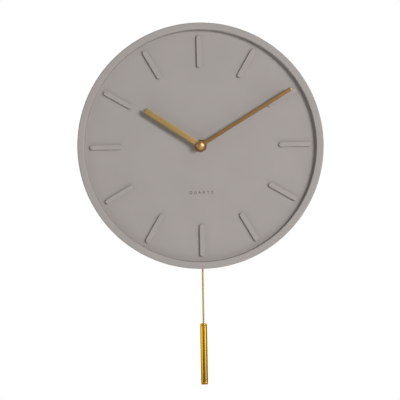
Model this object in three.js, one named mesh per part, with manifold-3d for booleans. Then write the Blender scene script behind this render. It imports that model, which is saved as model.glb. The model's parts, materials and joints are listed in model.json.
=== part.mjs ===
// A pendulum wall clock: a deep round rim with a recessed dial, twelve raised hour bars, two hands under
// a domed cap, a quartz pendulum movement behind the dial, and a rod with a brass bob below the rim.
// Millimetres, +Z up, the wall is the plane y = 0 and the front faces -Y. The origin is the nail it hangs on.
import * as THREE from "three";
import { mergeVertices } from "three/addons/utils/BufferGeometryUtils.js";
import Module from "manifold-3d";

const wasm = await Module();
wasm.setup();

// ---------------------------------------------------------------- driving dimensions
// Heights (z) and sides (x) are measured from the dial's centre, depths (y) from the wall.

const nailAboveDial = 126;

// Rim of the case, and the dial that is set into it
const rim = {
  outerRadius: 150,
  wallInnerRadius: 147,
  lipRadius: 142.3,
  innerRadius: 141,
  frontY: -40,
  flangeY: -33,
  outerFillet: 2,
  lipFillet: 0.9,
  segments: 60,
};
const rodNotch = { halfWidth: 20, depth: 17 };
const dial = { radius: 146.7, frontY: -33, rearY: -30, boreRadius: 4.1, segments: 48 };
const retainer = { innerRadius: 139, rearY: -27 };
const dialScrew = {
  circle: 144.2,
  headRadius: 2.6,
  headHeight: 1.5,
  shankRadius: 1.15,
  holeRadius: 1.45,
  tipY: -38.2,
};
const bar = { innerRadius: 95.5, outerRadius: 135, width: 6, height: 3 };

// Hanger: a keyhole plate on two bosses
const hanger = { halfWidth: 30, lowZ: 108, highZ: 135, corner: 3, frontY: -4.5, rearY: -3, entryZ: 115 };
const keyhole = { slotRadius: 2.2, entryRadius: 4.5 };
const boss = { nearX: 16.5, farX: 28.5, frontY: -26, rootDepth: 0.5 };
const hangerScrew = { x: 22.5, z: 121.5, headRadius: 2.8, headHeight: 1.4, shankRadius: 1.35, tipY: -14 };

// Hands and the clamp of the movement
const hourHand = { angle: 303.35, width: 7.25, reach: 81.3, eyeRadius: 4.9, rearY: -41.4, frontY: -42.6 };
const minuteHand = { angle: 58.9, width: 4.65, reach: 130.3, eyeRadius: 4.4, rearY: -44.4, frontY: -45.6 };
const cap = { radius: 5.3, edge: 1.3, domeHeight: 1.8 };
const arborRadius = 1.5;
const hourTube = { bore: 1.7, radius: 2.5 };
const bushing = { radius: 4, bore: 2.7, frontY: -37, flangeRadius: 5.3, flangeDepth: 0.7 };
const handSeat = { hour: 2.2, minute: 1.05, length: 2.2 };
const gasket = { radius: 11, thickness: 0.8 };
const washer = { radius: 7.2, thickness: 0.5 };
const nut = { baseRadius: 7.55, topRadius: 5.6, landHeight: 0.5, thickness: 2.8 };

// Movement housing: two trays that meet at seamY
const housing = {
  halfWidth: 28,
  lowZ: -84,
  highZ: 28,
  frontY: -29.2,
  seamY: -20.6,
  rearY: -12,
  wall: 1.4,
  corner: 4,
};
const bay = { lowZ: -46.6, highZ: -30.2, wall: 1.2, halfWidth: 26.2 };
const battery = {
  radius: 7.1,
  length: 49.2,
  lowX: -24.7,
  nubRadius: 2.7,
  nubLength: 1.1,
  centreY: -19.2,
  centreZ: -38.4,
};
const bridge = { frontY: -15.6, rearY: -14.8, halfWidth: 26, lowZ: -16.2, highZ: 26, corner: 2.5 };

// Moulded posts on the front shell's floor, each with its place in x and z and its radius
const posts = {
  bridge: {
    radius: 1.3,
    places: [
      [-24.4, 22.5],
      [24.4, 23.5],
      [24.6, -14.4],
      [-11.5, -14.6],
    ],
  },
  stator: {
    radius: 1.1,
    places: [
      [-24.4, 11],
      [-24.4, -13.8],
    ],
  },
  board: {
    radius: 1.3,
    places: [
      [-20, -22.6],
      [20, -22.6],
    ],
  },
  pivotCupRadius: 1.5,
  motionRadius: 1,
};

// Battery contacts: a plate at each end of the bay, with a coiled spring on the negative one
const contact = { thickness: 0.4, frontReach: 6, rearReach: 5, halfHeight: 6 };
const spring = { turns: 3, wideRadius: 5, narrowRadius: 2.6, startX: 0.45, length: 1.05, wireRadius: 0.3 };
const dimple = { tipRadius: 1.2, baseRadius: 2, gap: 0.05 };

// Gear train: tooth counts and modules of each mesh, and where each arbor stands
const mesh = {
  centreToThird: { wheel: 64, pinion: 8, module: 0.4 },
  thirdToSeconds: { wheel: 60, pinion: 8, module: 0.4 },
  secondsToIntermediate: { wheel: 60, pinion: 10, module: 0.3 },
  intermediateToRotor: { wheel: 60, pinion: 12, module: 0.3 },
  cannonToMotion: { wheel: 36, pinion: 12, module: 0.5 },
  motionToHour: { wheel: 40, pinion: 10, module: 0.48 },
};
const arborAngle = { third: 35, seconds: 150, intermediate: 180, rotor: 225.2, motion: -35, knob: 0 };
const tooth = {
  wheel: { addendum: 0.95, dedendum: 1.3, rootShare: 0.8, tipShare: 0 },
  pinion: { addendum: 0.7, dedendum: 1.45, rootShare: 0.52, tipShare: 0.24 },
};
const wheelThickness = 1;
const layer = {
  hour: -27.6,
  cannon: -26,
  motion: -25.8,
  centre: -23.6,
  third: -21.6,
  seconds: -19.6,
  intermediate: -17.6,
};
const arbor = { radius: 0.9, pivotRadius: 0.5, pivotHole: 0.62 };
const knob = { radius: 6, frontY: -11.6, rearY: -8.8, stemRadius: 2, flutes: 12 };

// Stepping motor, circuit board and pendulum drive
const rotorMagnet = { radius: 2.6, frontY: -23.2, rearY: -18.8 };
const stator = { lowX: -26, highX: -13.8, lowZ: -16, highZ: 13, frontY: -21.6, rearY: -20.8, bore: 3.2 };
const coilWindow = { lowX: -23.6, highX: -16.2, lowZ: -12.5, highZ: 1.5 };
const board = { halfWidth: 26, lowZ: -28.2, highZ: -17, frontY: -21, rearY: -20.2 };
const chip = { halfWidth: 3, lowZ: -25.6, highZ: -19.6, height: 1.1 };
const crystal = {
  radius: 1.5,
  length: 8,
  x: -15.8,
  z: -22.6,
  leadSpacing: 1,
  leadWidth: 0.4,
  leadReach: 1.5,
};
const driveCoil = { outerRadius: 6.2, innerRadius: 3, z: -76, frontY: -18.4 };

// Pendulum
const pivot = { z: -54, radius: 1.2, headRadius: 2.4, headHeight: 0.9, bossRadius: 3.2 };
const swingArm = { frontY: -10.6, rearY: -8.4, eyeRadius: 4.5, lowZ: -81, footHalfWidth: 7 };
const hook = { z: -64, radius: 1.2, headRadius: 2, rearY: -4, headHeight: 0.8 };
const driveMagnet = { radius: 4, z: -76, frontY: -11.5, rearY: -8.7 };
const rod = { radius: 0.97, y: -6.5, eyeInner: 1.45, eyeOuter: 2.9, eyeHalfDepth: 0.8, endZ: -229 };
const bob = { radius: 4.25, wall: 0.8, topZ: -219.6, bottomZ: -294.9, capHeight: 2.8, plugLength: 4 };

// Clearances between separate pieces
const slipGap = 0.05;

// ---------------------------------------------------------------- geometry helpers

const degrees = Math.PI / 180;

// A closed three.js geometry as a solid that can be joined and cut.
function solid(geometry) {
  const bare = geometry.clone();
  bare.deleteAttribute("normal");
  bare.deleteAttribute("uv");
  const merged = mergeVertices(bare, 1e-4);
  return new wasm.Manifold(
    new wasm.Mesh({
      numProp: 3,
      vertProperties: merged.attributes.position.array,
      triVerts: new Uint32Array(merged.index.array),
    }),
  );
}

// A solid back as a three.js geometry.
function geometryOf(body) {
  const found = body.getMesh();
  const geometry = new THREE.BufferGeometry();
  geometry.setAttribute("position", new THREE.BufferAttribute(found.vertProperties, 3));
  geometry.setIndex(new THREE.BufferAttribute(found.triVerts, 1));
  const faceted = geometry.toNonIndexed();
  faceted.computeVertexNormals();
  return faceted;
}

function join(...geometries) {
  return geometryOf(geometries.map(solid).reduce((whole, piece) => whole.add(piece)));
}

function cut(geometry, ...tools) {
  return geometryOf(tools.map(solid).reduce((whole, tool) => whole.subtract(tool), solid(geometry)));
}

// A body of revolution about the clock's axis (Y). The profile lists [radius, y], outer side towards +y.
function turned(profile, segments = 16) {
  return new THREE.LatheGeometry(
    profile.map(([radius, y]) => new THREE.Vector2(radius, y)),
    segments,
  );
}

// A rod or disc along Y, centred at x, z.
function disc(radius, frontY, rearY, x = 0, z = 0, segments = 16) {
  const profile = [
    [0, frontY],
    [radius, frontY],
    [radius, rearY],
    [0, rearY],
  ];
  return turned(profile, segments).translate(x, 0, z);
}

// A ring along Y, centred at x, z.
function ring(innerRadius, outerRadius, frontY, rearY, x = 0, z = 0, segments = 16) {
  const profile = [
    [innerRadius, frontY],
    [outerRadius, frontY],
    [outerRadius, rearY],
    [innerRadius, rearY],
    [innerRadius, frontY],
  ];
  return turned(profile, segments).translate(x, 0, z);
}

// A flat piece drawn in the dial's plane (x, z), between two depths.
function flat(shape, frontY, rearY, curveSegments = 6) {
  const depth = rearY - frontY;
  const piece = new THREE.ExtrudeGeometry(shape, { depth, bevelEnabled: false, curveSegments });
  return piece.rotateX(Math.PI / 2).translate(0, rearY, 0);
}

function box(lowX, highX, frontY, rearY, lowZ, highZ) {
  const size = [highX - lowX, rearY - frontY, highZ - lowZ];
  const centre = [(lowX + highX) / 2, (frontY + rearY) / 2, (lowZ + highZ) / 2];
  return new THREE.BoxGeometry(...size).translate(...centre);
}

// A rectangle with round corners, between two corners in x and z.
function roundedPlate(lowX, highX, lowZ, highZ, corner) {
  const shape = new THREE.Shape();
  shape.moveTo(lowX + corner, lowZ);
  shape.lineTo(highX - corner, lowZ);
  shape.absarc(highX - corner, lowZ + corner, corner, -Math.PI / 2, 0);
  shape.lineTo(highX, highZ - corner);
  shape.absarc(highX - corner, highZ - corner, corner, 0, Math.PI / 2);
  shape.lineTo(lowX + corner, highZ);
  shape.absarc(lowX + corner, highZ - corner, corner, Math.PI / 2, Math.PI);
  shape.lineTo(lowX, lowZ + corner);
  shape.absarc(lowX + corner, lowZ + corner, corner, Math.PI, 1.5 * Math.PI);
  return shape;
}

// A slot-shaped outline along Z with half-round ends.
function stadium(halfWidth, lowZ, highZ) {
  const shape = new THREE.Shape();
  shape.absarc(0, highZ - halfWidth, halfWidth, 0, Math.PI);
  shape.absarc(0, lowZ + halfWidth, halfWidth, Math.PI, 2 * Math.PI);
  return shape;
}

// Points of a quarter-round corner on a profile, from one angle to the other.
function fillet(centreRadius, centreY, radius, fromAngle, toAngle, steps = 2) {
  const points = [];
  for (let step = 0; step <= steps; step += 1) {
    const angle = (fromAngle + ((toAngle - fromAngle) * step) / steps) * degrees;
    points.push([centreRadius + radius * Math.cos(angle), centreY + radius * Math.sin(angle)]);
  }
  return points;
}

// ---------------------------------------------------------------- the assembly

const clock = new THREE.Group();
const dialCentre = new THREE.Group();
dialCentre.position.z = -nailAboveDial;
clock.add(dialCentre);

const finishes = {
  paint: { color: 0x9f9994, roughness: 0.62, metalness: 0 },
  brushedGold: { color: 0xb08d52, roughness: 0.34, metalness: 1 },
  polishedBrass: { color: 0xc49a3c, roughness: 0.16, metalness: 1 },
  brass: { color: 0xb5924a, roughness: 0.28, metalness: 1 },
  steel: { color: 0xa6a8ab, roughness: 0.32, metalness: 1 },
  blackPlastic: { color: 0x1b1b1d, roughness: 0.5, metalness: 0 },
  whitePlastic: { color: 0xe2ded2, roughness: 0.45, metalness: 0 },
  rubber: { color: 0x18181a, roughness: 0.9, metalness: 0 },
  copper: { color: 0xa5562b, roughness: 0.3, metalness: 1 },
  greenBoard: { color: 0x1f5a38, roughness: 0.45, metalness: 0 },
  magnet: { color: 0x6b6d71, roughness: 0.3, metalness: 1 },
  label: { color: 0x3c5a86, roughness: 0.35, metalness: 0 },
};

function add(name, geometry, finish, rotation = 0) {
  const piece = new THREE.Mesh(geometry, new THREE.MeshStandardMaterial(finishes[finish]));
  piece.name = name;
  piece.rotation.y = rotation * degrees;
  dialCentre.add(piece);
}

// ---------------------------------------------------------------- case and dial

// Places of the four dial screws, on the diagonals.
const screwPlaces = [45, 135, 225, 315].map((angle) => [
  dialScrew.circle * Math.cos(angle * degrees),
  dialScrew.circle * Math.sin(angle * degrees),
]);

function caseRing() {
  const profile = [
    ...fillet(rim.outerRadius - rim.outerFillet, rim.frontY + rim.outerFillet, rim.outerFillet, -90, 0),
    [rim.outerRadius, 0],
    [rim.wallInnerRadius, 0],
    [rim.wallInnerRadius, rim.flangeY],
    [rim.innerRadius, rim.flangeY],
    ...fillet(rim.lipRadius + rim.lipFillet, rim.frontY + rim.lipFillet, rim.lipFillet, -180, -90),
  ];
  profile.push(profile[0]);
  const bosses = [-1, 1].map((side) => {
    const edges = [side * boss.nearX, side * boss.farX].sort((a, b) => a - b);
    const topZ = Math.sqrt(rim.wallInnerRadius ** 2 - boss.nearX ** 2) + boss.rootDepth;
    return box(...edges, boss.frontY, hanger.frontY, hanger.lowZ, topZ);
  });
  const ringWithBosses = join(turned(profile, rim.segments), ...bosses);
  const notch = box(
    -rodNotch.halfWidth,
    rodNotch.halfWidth,
    -rodNotch.depth,
    1,
    -rim.outerRadius - 2,
    -rim.innerRadius,
  );
  const dialPilots = screwPlaces.map(([x, z]) =>
    disc(dialScrew.shankRadius + slipGap, dialScrew.tipY - 0.3, rim.flangeY + 1, x, z, 12),
  );
  const hangerPilots = [-1, 1].map((side) =>
    disc(
      hangerScrew.shankRadius + slipGap,
      hangerScrew.tipY - 0.3,
      hanger.frontY + 1,
      side * hangerScrew.x,
      hangerScrew.z,
      12,
    ),
  );
  return cut(ringWithBosses, notch, ...dialPilots, ...hangerPilots);
}

// A pan-head screw along Y, its head behind the seat.
function screw({ headRadius, headHeight, shankRadius, tipY }, seatY) {
  const profile = [
    [0, tipY],
    [shankRadius, tipY],
    [shankRadius, seatY],
    [headRadius, seatY],
    [headRadius, seatY + headHeight],
    [0, seatY + headHeight],
  ];
  return turned(profile, 12);
}

function addCase() {
  add("case_ring", caseRing(), "paint");
  const screwHoles = screwPlaces.map(([x, z]) =>
    disc(dialScrew.holeRadius, dial.frontY - 1, retainer.rearY + 1, x, z, 8),
  );
  const dialDisc = ring(dial.boreRadius, dial.radius, dial.frontY, dial.rearY, 0, 0, dial.segments);
  add("dial_plate", cut(dialDisc, ...screwHoles), "paint");
  const holdingRing = ring(
    retainer.innerRadius,
    dial.radius,
    dial.rearY,
    retainer.rearY,
    0,
    0,
    dial.segments,
  );
  add("dial_retaining_ring", cut(holdingRing, ...screwHoles), "blackPlastic");
  screwPlaces.forEach(([x, z], index) => {
    add(`dial_screw_${index + 1}`, screw(dialScrew, retainer.rearY).translate(x, 0, z), "steel");
  });
  const outline = stadium(bar.width / 2, bar.innerRadius, bar.outerRadius);
  for (let hour = 1; hour <= 12; hour += 1) {
    const name = `hour_marker_${String(hour).padStart(2, "0")}`;
    add(name, flat(outline, dial.frontY - bar.height, dial.frontY, 3), "paint", hour * 30);
  }
}

// ---------------------------------------------------------------- hanger

function addHanger() {
  const plate = roundedPlate(-hanger.halfWidth, hanger.halfWidth, hanger.lowZ, hanger.highZ, hanger.corner);
  const opening = new THREE.Path();
  const throat = Math.sqrt(keyhole.entryRadius ** 2 - keyhole.slotRadius ** 2);
  const throatAngle = Math.atan2(throat, keyhole.slotRadius);
  opening.absarc(0, nailAboveDial, keyhole.slotRadius, 0, Math.PI);
  opening.absarc(0, hanger.entryZ, keyhole.entryRadius, Math.PI - throatAngle, 2 * Math.PI + throatAngle);
  plate.holes.push(opening);
  const screwHoles = [-1, 1].map((side) => {
    const x = side * hangerScrew.x;
    return disc(hangerScrew.shankRadius + 0.2, hanger.frontY - 1, hanger.rearY + 1, x, hangerScrew.z, 12);
  });
  const blank = flat(plate, hanger.frontY, hanger.rearY, 4);
  add("hanger_plate", cut(blank, ...screwHoles), "steel");
  [-1, 1].forEach((side, index) => {
    const piece = screw(hangerScrew, hanger.rearY).translate(side * hangerScrew.x, 0, hangerScrew.z);
    add(`hanger_screw_${index + 1}`, piece, "steel");
  });
}

// ---------------------------------------------------------------- hands and the clamp of the movement

// A straight hand with a round eye at the axis and a half-round tip, pointing to 12.
function hand({ width, reach, eyeRadius, rearY, frontY }, boreRadius) {
  const blade = flat(stadium(width / 2, -width / 2, reach), frontY, rearY, 5);
  const eye = disc(eyeRadius, frontY, rearY, 0, 0, 20);
  return cut(join(blade, eye), disc(boreRadius, frontY - 1, rearY + 1));
}

function centreCap() {
  const rearY = minuteHand.frontY;
  const edgeY = rearY - cap.edge;
  const sphere = (cap.radius ** 2 + cap.domeHeight ** 2) / (2 * cap.domeHeight);
  const centreY = edgeY - cap.domeHeight + sphere;
  const openingAngle = Math.asin(cap.radius / sphere) / degrees;
  const boreY = rearY - handSeat.length - 0.2;
  const bore = handSeat.minute + slipGap;
  const profile = [
    [0, edgeY - cap.domeHeight],
    ...fillet(0, centreY, sphere, -90, -90 + openingAngle, 4).slice(1),
    [cap.radius, rearY],
    [bore, rearY],
    [bore, boreY],
    [0, boreY],
  ];
  return turned(profile, 20);
}

function addHands() {
  add("hour_hand", hand(hourHand, handSeat.hour + slipGap), "brushedGold", hourHand.angle);
  add("minute_hand", hand(minuteHand, handSeat.minute + slipGap), "brushedGold", minuteHand.angle);
  add("hand_cap", centreCap(), "polishedBrass");
}

// What holds the movement to the dial: gasket, washer, a round nut with a conical flank, and the bushing.
function addClamp() {
  const gasketY = dial.rearY + gasket.thickness;
  add("rubber_gasket", ring(dial.boreRadius, gasket.radius, dial.rearY, gasketY, 0, 0, 24), "rubber");
  const washerY = dial.frontY - washer.thickness;
  add("dial_washer", ring(dial.boreRadius, washer.radius, washerY, dial.frontY, 0, 0, 24), "brass");
  const nutFrontY = washerY - nut.thickness;
  const nutBore = bushing.radius + slipGap;
  const nutProfile = [
    [nutBore, nutFrontY],
    [nut.topRadius, nutFrontY],
    [nut.baseRadius, washerY - nut.landHeight],
    [nut.baseRadius, washerY],
    [nutBore, washerY],
    [nutBore, nutFrontY],
  ];
  add("dial_nut", turned(nutProfile, 24), "brass");
  const innerY = housing.frontY + housing.wall;
  const profile = [
    [bushing.bore, bushing.frontY],
    [bushing.radius, bushing.frontY],
    [bushing.radius, innerY - bushing.flangeDepth],
    [bushing.flangeRadius, innerY - bushing.flangeDepth],
    [bushing.flangeRadius, innerY],
    [bushing.bore, innerY],
    [bushing.bore, bushing.frontY],
  ];
  add("threaded_bushing", turned(profile, 18), "brass");
}

// ---------------------------------------------------------------- gears

// Distance between the arbors of a mesh.
function spacing({ wheel, pinion, module }) {
  return ((wheel + pinion) * module) / 2;
}

// The arbor reached from another at an angle in the dial's plane.
function arborFrom([x, z], angle, distance) {
  return [x + distance * Math.cos(angle * degrees), z + distance * Math.sin(angle * degrees)];
}

const centreAt = [0, 0];
const thirdAt = arborFrom(centreAt, arborAngle.third, spacing(mesh.centreToThird));
const secondsAt = arborFrom(thirdAt, arborAngle.seconds, spacing(mesh.thirdToSeconds));
const intermediateAt = arborFrom(secondsAt, arborAngle.intermediate, spacing(mesh.secondsToIntermediate));
const rotorAt = arborFrom(intermediateAt, arborAngle.rotor, spacing(mesh.intermediateToRotor));
const motionAt = arborFrom(centreAt, arborAngle.motion, spacing(mesh.cannonToMotion));
const knobAt = arborFrom(motionAt, arborAngle.knob, spacing(mesh.cannonToMotion));

// The angle at which a pinion's tooth stands so that it meshes with a wheel whose tooth is at wheelPhase,
// where lineAngle points from the wheel to the pinion.
function meshPhase(wheelPhase, { wheel, pinion }, lineAngle) {
  const gap = lineAngle + 180 + 180 / pinion;
  return gap - ((wheelPhase - lineAngle) * wheel) / pinion;
}

// The same mesh seen from the pinion: its wheel is then the one whose angle is found.
function turnedRound({ wheel, pinion }) {
  return { wheel: pinion, pinion: wheel };
}

// A gear's disc: teeth with straight flanks, thinner than half the pitch so that the pair runs free.
// A tooth whose tip share is nought comes to a point, as on a clock wheel.
function gear(teeth, module, { addendum, dedendum, rootShare, tipShare }, phase, frontY, rearY) {
  const pitchRadius = (teeth * module) / 2;
  const tipRadius = pitchRadius + addendum * module;
  const rootRadius = pitchRadius - dedendum * module;
  const pitch = 360 / teeth;
  const outline = [];
  for (let index = 0; index < teeth; index += 1) {
    const middle = phase + index * pitch;
    const tip = tipShare
      ? [
          [tipRadius, -tipShare / 2],
          [tipRadius, tipShare / 2],
        ]
      : [[tipRadius, 0]];
    const corners = [[rootRadius, -rootShare / 2], ...tip, [rootRadius, rootShare / 2]];
    for (const [radius, share] of corners) {
      const angle = (middle + share * pitch) * degrees;
      outline.push(new THREE.Vector2(radius * Math.cos(angle), radius * Math.sin(angle)));
    }
  }
  return flat(new THREE.Shape(outline), frontY, rearY);
}

function wheelDisc({ wheel, module }, phase, frontY) {
  return gear(wheel, module, tooth.wheel, phase, frontY, frontY + wheelThickness);
}

function pinionLeaves({ pinion, module }, phase, frontY, rearY) {
  return gear(pinion, module, tooth.pinion, phase, frontY, rearY);
}

// An arbor between the front shell and the bridge, with a thin pivot at each end.
const arborEnds = { frontPivotY: -27.5, frontY: -26.4, rearY: bridge.frontY - 0.3, rearPivotY: bridge.rearY };
function arborBar() {
  const { frontPivotY, frontY, rearY, rearPivotY } = arborEnds;
  const profile = [
    [0, frontPivotY],
    [arbor.pivotRadius, frontPivotY],
    [arbor.pivotRadius, frontY],
    [arbor.radius, frontY],
    [arbor.radius, rearY],
    [arbor.pivotRadius, rearY],
    [arbor.pivotRadius, rearPivotY],
    [0, rearPivotY],
  ];
  return turned(profile, 10);
}

// Tooth angles, each following from the gear that it meshes with.
const phase = {};
phase.centre = 0;
phase.cannon = 0;
phase.thirdPinion = meshPhase(phase.centre, mesh.centreToThird, arborAngle.third);
phase.thirdWheel = 0;
phase.secondsPinion = meshPhase(phase.thirdWheel, mesh.thirdToSeconds, arborAngle.seconds);
phase.secondsWheel = 0;
phase.intermediatePinion = meshPhase(
  phase.secondsWheel,
  mesh.secondsToIntermediate,
  arborAngle.intermediate,
);
phase.intermediateWheel = 0;
phase.rotorPinion = meshPhase(phase.intermediateWheel, mesh.intermediateToRotor, arborAngle.rotor);
phase.motionWheel = meshPhase(phase.cannon, turnedRound(mesh.cannonToMotion), arborAngle.motion);
phase.motionPinion = 0;
phase.hourWheel = meshPhase(phase.motionPinion, turnedRound(mesh.motionToHour), arborAngle.motion + 180);
phase.knobPinion = meshPhase(phase.motionWheel, mesh.cannonToMotion, arborAngle.knob);

function addGearTrain() {
  const { hour, cannon, motion, centre, third, seconds, intermediate } = layer;

  // The centre arbor carries the minute hand, the cannon pinion and the centre wheel.
  const centreArbor = turned(
    [
      [0, minuteHand.frontY - handSeat.length],
      [handSeat.minute, minuteHand.frontY - handSeat.length],
      [handSeat.minute, minuteHand.rearY],
      [arborRadius, minuteHand.rearY],
      [arborRadius, bridge.frontY - 0.3],
      [0.7, bridge.frontY - 0.3],
      [0.7, bridge.rearY],
      [0, bridge.rearY],
    ],
    16,
  );
  const cannonLeaves = gear(
    mesh.cannonToMotion.pinion,
    mesh.cannonToMotion.module,
    tooth.pinion,
    phase.cannon,
    cannon,
    cannon + 1.4,
  );
  const centreWheel = join(centreArbor, cannonLeaves, wheelDisc(mesh.centreToThird, phase.centre, centre));
  add("centre_wheel", centreWheel, "whitePlastic");

  // The hour wheel runs on the centre arbor, and its tube carries the hour hand.
  const tube = turned(
    [
      [hourTube.bore, hourHand.frontY - 0.2],
      [handSeat.hour, hourHand.frontY - 0.2],
      [handSeat.hour, hourHand.rearY],
      [hourTube.radius, hourHand.rearY],
      [hourTube.radius, hour + wheelThickness],
      [hourTube.bore, hour + wheelThickness],
      [hourTube.bore, hourHand.frontY - 0.2],
    ],
    16,
  );
  const hourBlank = wheelDisc(mesh.motionToHour, phase.hourWheel, hour);
  const hourDisc = cut(hourBlank, disc(hourTube.bore, hour - 1, hour + 2));
  add("hour_wheel", join(hourDisc, tube), "whitePlastic");

  // The motion wheel turns on a fixed post of the front shell.
  const motionDisc = wheelDisc(mesh.cannonToMotion, phase.motionWheel, motion);
  const motionPinion = pinionLeaves(mesh.motionToHour, phase.motionPinion, hour, motion);
  const motionBore = disc(1.1, hour - 1, motion + 2, 0, 0, 12);
  const motionWheel = cut(join(motionDisc, motionPinion), motionBore);
  add("motion_wheel", motionWheel.translate(motionAt[0], 0, motionAt[1]), "whitePlastic");

  // The geared-up train from the centre wheel to the motor. Each pinion reaches past its wheel's layer.
  const thirdWheel = join(
    arborBar(),
    pinionLeaves(mesh.centreToThird, phase.thirdPinion, centre - 0.4, third),
    wheelDisc(mesh.thirdToSeconds, phase.thirdWheel, third),
  );
  add("third_wheel", thirdWheel.translate(thirdAt[0], 0, thirdAt[1]), "whitePlastic");
  const secondsWheel = join(
    arborBar(),
    pinionLeaves(mesh.thirdToSeconds, phase.secondsPinion, third - 0.4, seconds),
    wheelDisc(mesh.secondsToIntermediate, phase.secondsWheel, seconds),
  );
  add("seconds_wheel", secondsWheel.translate(secondsAt[0], 0, secondsAt[1]), "whitePlastic");
  const intermediateWheel = join(
    arborBar(),
    pinionLeaves(mesh.secondsToIntermediate, phase.intermediatePinion, seconds - 0.4, intermediate),
    wheelDisc(mesh.intermediateToRotor, phase.intermediateWheel, intermediate),
  );
  const intermediatePlace = [intermediateAt[0], 0, intermediateAt[1]];
  add("intermediate_wheel", intermediateWheel.translate(...intermediatePlace), "whitePlastic");
  const rotor = join(
    arborBar(),
    disc(rotorMagnet.radius, rotorMagnet.frontY, rotorMagnet.rearY, 0, 0, 16),
    pinionLeaves(mesh.intermediateToRotor, phase.rotorPinion, intermediate - 0.4, bridge.frontY - 0.4),
  );
  add("motor_rotor", rotor.translate(rotorAt[0], 0, rotorAt[1]), "magnet");
}

function addKnob() {
  const pinion = gear(
    mesh.cannonToMotion.pinion,
    mesh.cannonToMotion.module,
    tooth.pinion,
    phase.knobPinion,
    layer.motion - 0.4,
    layer.motion + 1.4,
  );
  const stem = disc(knob.stemRadius, layer.motion - 0.4, knob.rearY - 0.5, 0, 0, 16);
  const outline = [];
  for (let index = 0; index < knob.flutes * 2; index += 1) {
    const radius = index % 2 ? knob.radius - 0.5 : knob.radius;
    const angle = (index / (knob.flutes * 2)) * 2 * Math.PI;
    outline.push(new THREE.Vector2(radius * Math.cos(angle), radius * Math.sin(angle)));
  }
  const grip = flat(new THREE.Shape(outline), knob.frontY, knob.rearY);
  const piece = join(pinion, stem, grip).translate(knobAt[0], 0, knobAt[1]);
  add("setting_knob", piece, "whitePlastic");
}

// ---------------------------------------------------------------- movement housing

function post(x, z, radius, rearY) {
  return disc(radius, housing.frontY + housing.wall / 2, rearY, x, z, 8);
}

// A tray of the housing's outline, open towards the other half.
function tray(frontY, rearY, floorY) {
  const { halfWidth, lowZ, highZ, wall, corner } = housing;
  const outer = flat(roundedPlate(-halfWidth, halfWidth, lowZ, highZ, corner), frontY, rearY, 3);
  const inside = roundedPlate(
    wall - halfWidth,
    halfWidth - wall,
    lowZ + wall,
    highZ - wall,
    corner - wall,
  );
  const [hollowFrontY, hollowRearY] = floorY < housing.seamY ? [floorY, rearY + 1] : [frontY - 1, floorY];
  return cut(outer, flat(inside, hollowFrontY, hollowRearY, 3));
}

// The two walls of the battery bay, between two depths.
function bayWalls(frontY, rearY) {
  const reach = housing.halfWidth - housing.wall / 2;
  return [
    box(-reach, reach, frontY, rearY, bay.highZ, bay.highZ + bay.wall),
    box(-reach, reach, frontY, rearY, bay.lowZ - bay.wall, bay.lowZ),
  ];
}

function frontShell() {
  const innerY = housing.frontY + housing.wall;
  const standing = ({ places, radius }, rearY) => places.map(([x, z]) => post(x, z, radius, rearY));
  const motionPostY = layer.motion + wheelThickness + 0.4;
  const motionPost = post(motionAt[0], motionAt[1], posts.motionRadius, motionPostY);
  const pivotCups = [thirdAt, secondsAt, intermediateAt, rotorAt].map(([x, z]) =>
    post(x, z, posts.pivotCupRadius, arborEnds.frontY - 0.15),
  );
  const whole = join(
    tray(housing.frontY, housing.seamY, innerY),
    ...bayWalls(innerY - housing.wall / 2, housing.seamY),
    ...standing(posts.bridge, bridge.frontY),
    ...standing(posts.stator, stator.frontY),
    ...standing(posts.board, board.frontY),
    ...pivotCups,
    motionPost,
  );
  const pivotHoles = [thirdAt, secondsAt, intermediateAt, rotorAt].map(([x, z]) =>
    disc(arbor.pivotHole, arborEnds.frontPivotY - 0.1, arborEnds.frontY + 1, x, z, 8),
  );
  const bushingHole = disc(bushing.radius + 0.1, housing.frontY - 1, innerY + 1, 0, 0, 20);
  const flangeSeat = disc(bushing.flangeRadius + 0.1, innerY - bushing.flangeDepth, innerY + 1, 0, 0, 20);
  return cut(whole, ...pivotHoles, bushingHole, flangeSeat);
}

function rearCover() {
  const innerY = housing.rearY - housing.wall;
  const pivotBoss = disc(pivot.bossRadius, innerY - 2, innerY + housing.wall / 2, 0, pivot.z, 16);
  const shell = join(
    tray(housing.seamY, housing.rearY, innerY),
    ...bayWalls(housing.seamY, innerY + housing.wall / 2),
    pivotBoss,
  );
  const bayOpening = box(-bay.halfWidth, bay.halfWidth, innerY - 1, housing.rearY + 1, bay.lowZ, bay.highZ);
  const stemHole = disc(knob.stemRadius + 0.2, innerY - 1, housing.rearY + 1, knobAt[0], knobAt[1], 16);
  const pinHole = disc(pivot.radius + slipGap, innerY - 3, housing.rearY + 1, 0, pivot.z, 12);
  return cut(shell, bayOpening, stemHole, pinHole);
}

function trainBridge() {
  const { halfWidth, lowZ, highZ, corner, frontY, rearY } = bridge;
  const plate = flat(roundedPlate(-halfWidth, halfWidth, lowZ, highZ, corner), frontY, rearY, 2);
  const pivotHoles = [thirdAt, secondsAt, intermediateAt, rotorAt].map(([x, z]) =>
    disc(arbor.pivotHole, frontY - 1, rearY + 1, x, z, 8),
  );
  const centreHole = disc(0.85, frontY - 1, rearY + 1, 0, 0, 10);
  const stemHole = disc(knob.stemRadius + 0.3, frontY - 1, rearY + 1, knobAt[0], knobAt[1], 12);
  return cut(plate, ...pivotHoles, centreHole, stemHole);
}

function addHousing() {
  add("front_shell", frontShell(), "blackPlastic");
  add("rear_cover", rearCover(), "blackPlastic");
  add("train_bridge", trainBridge(), "whitePlastic");
}

// ---------------------------------------------------------------- motor, circuit and battery

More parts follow.
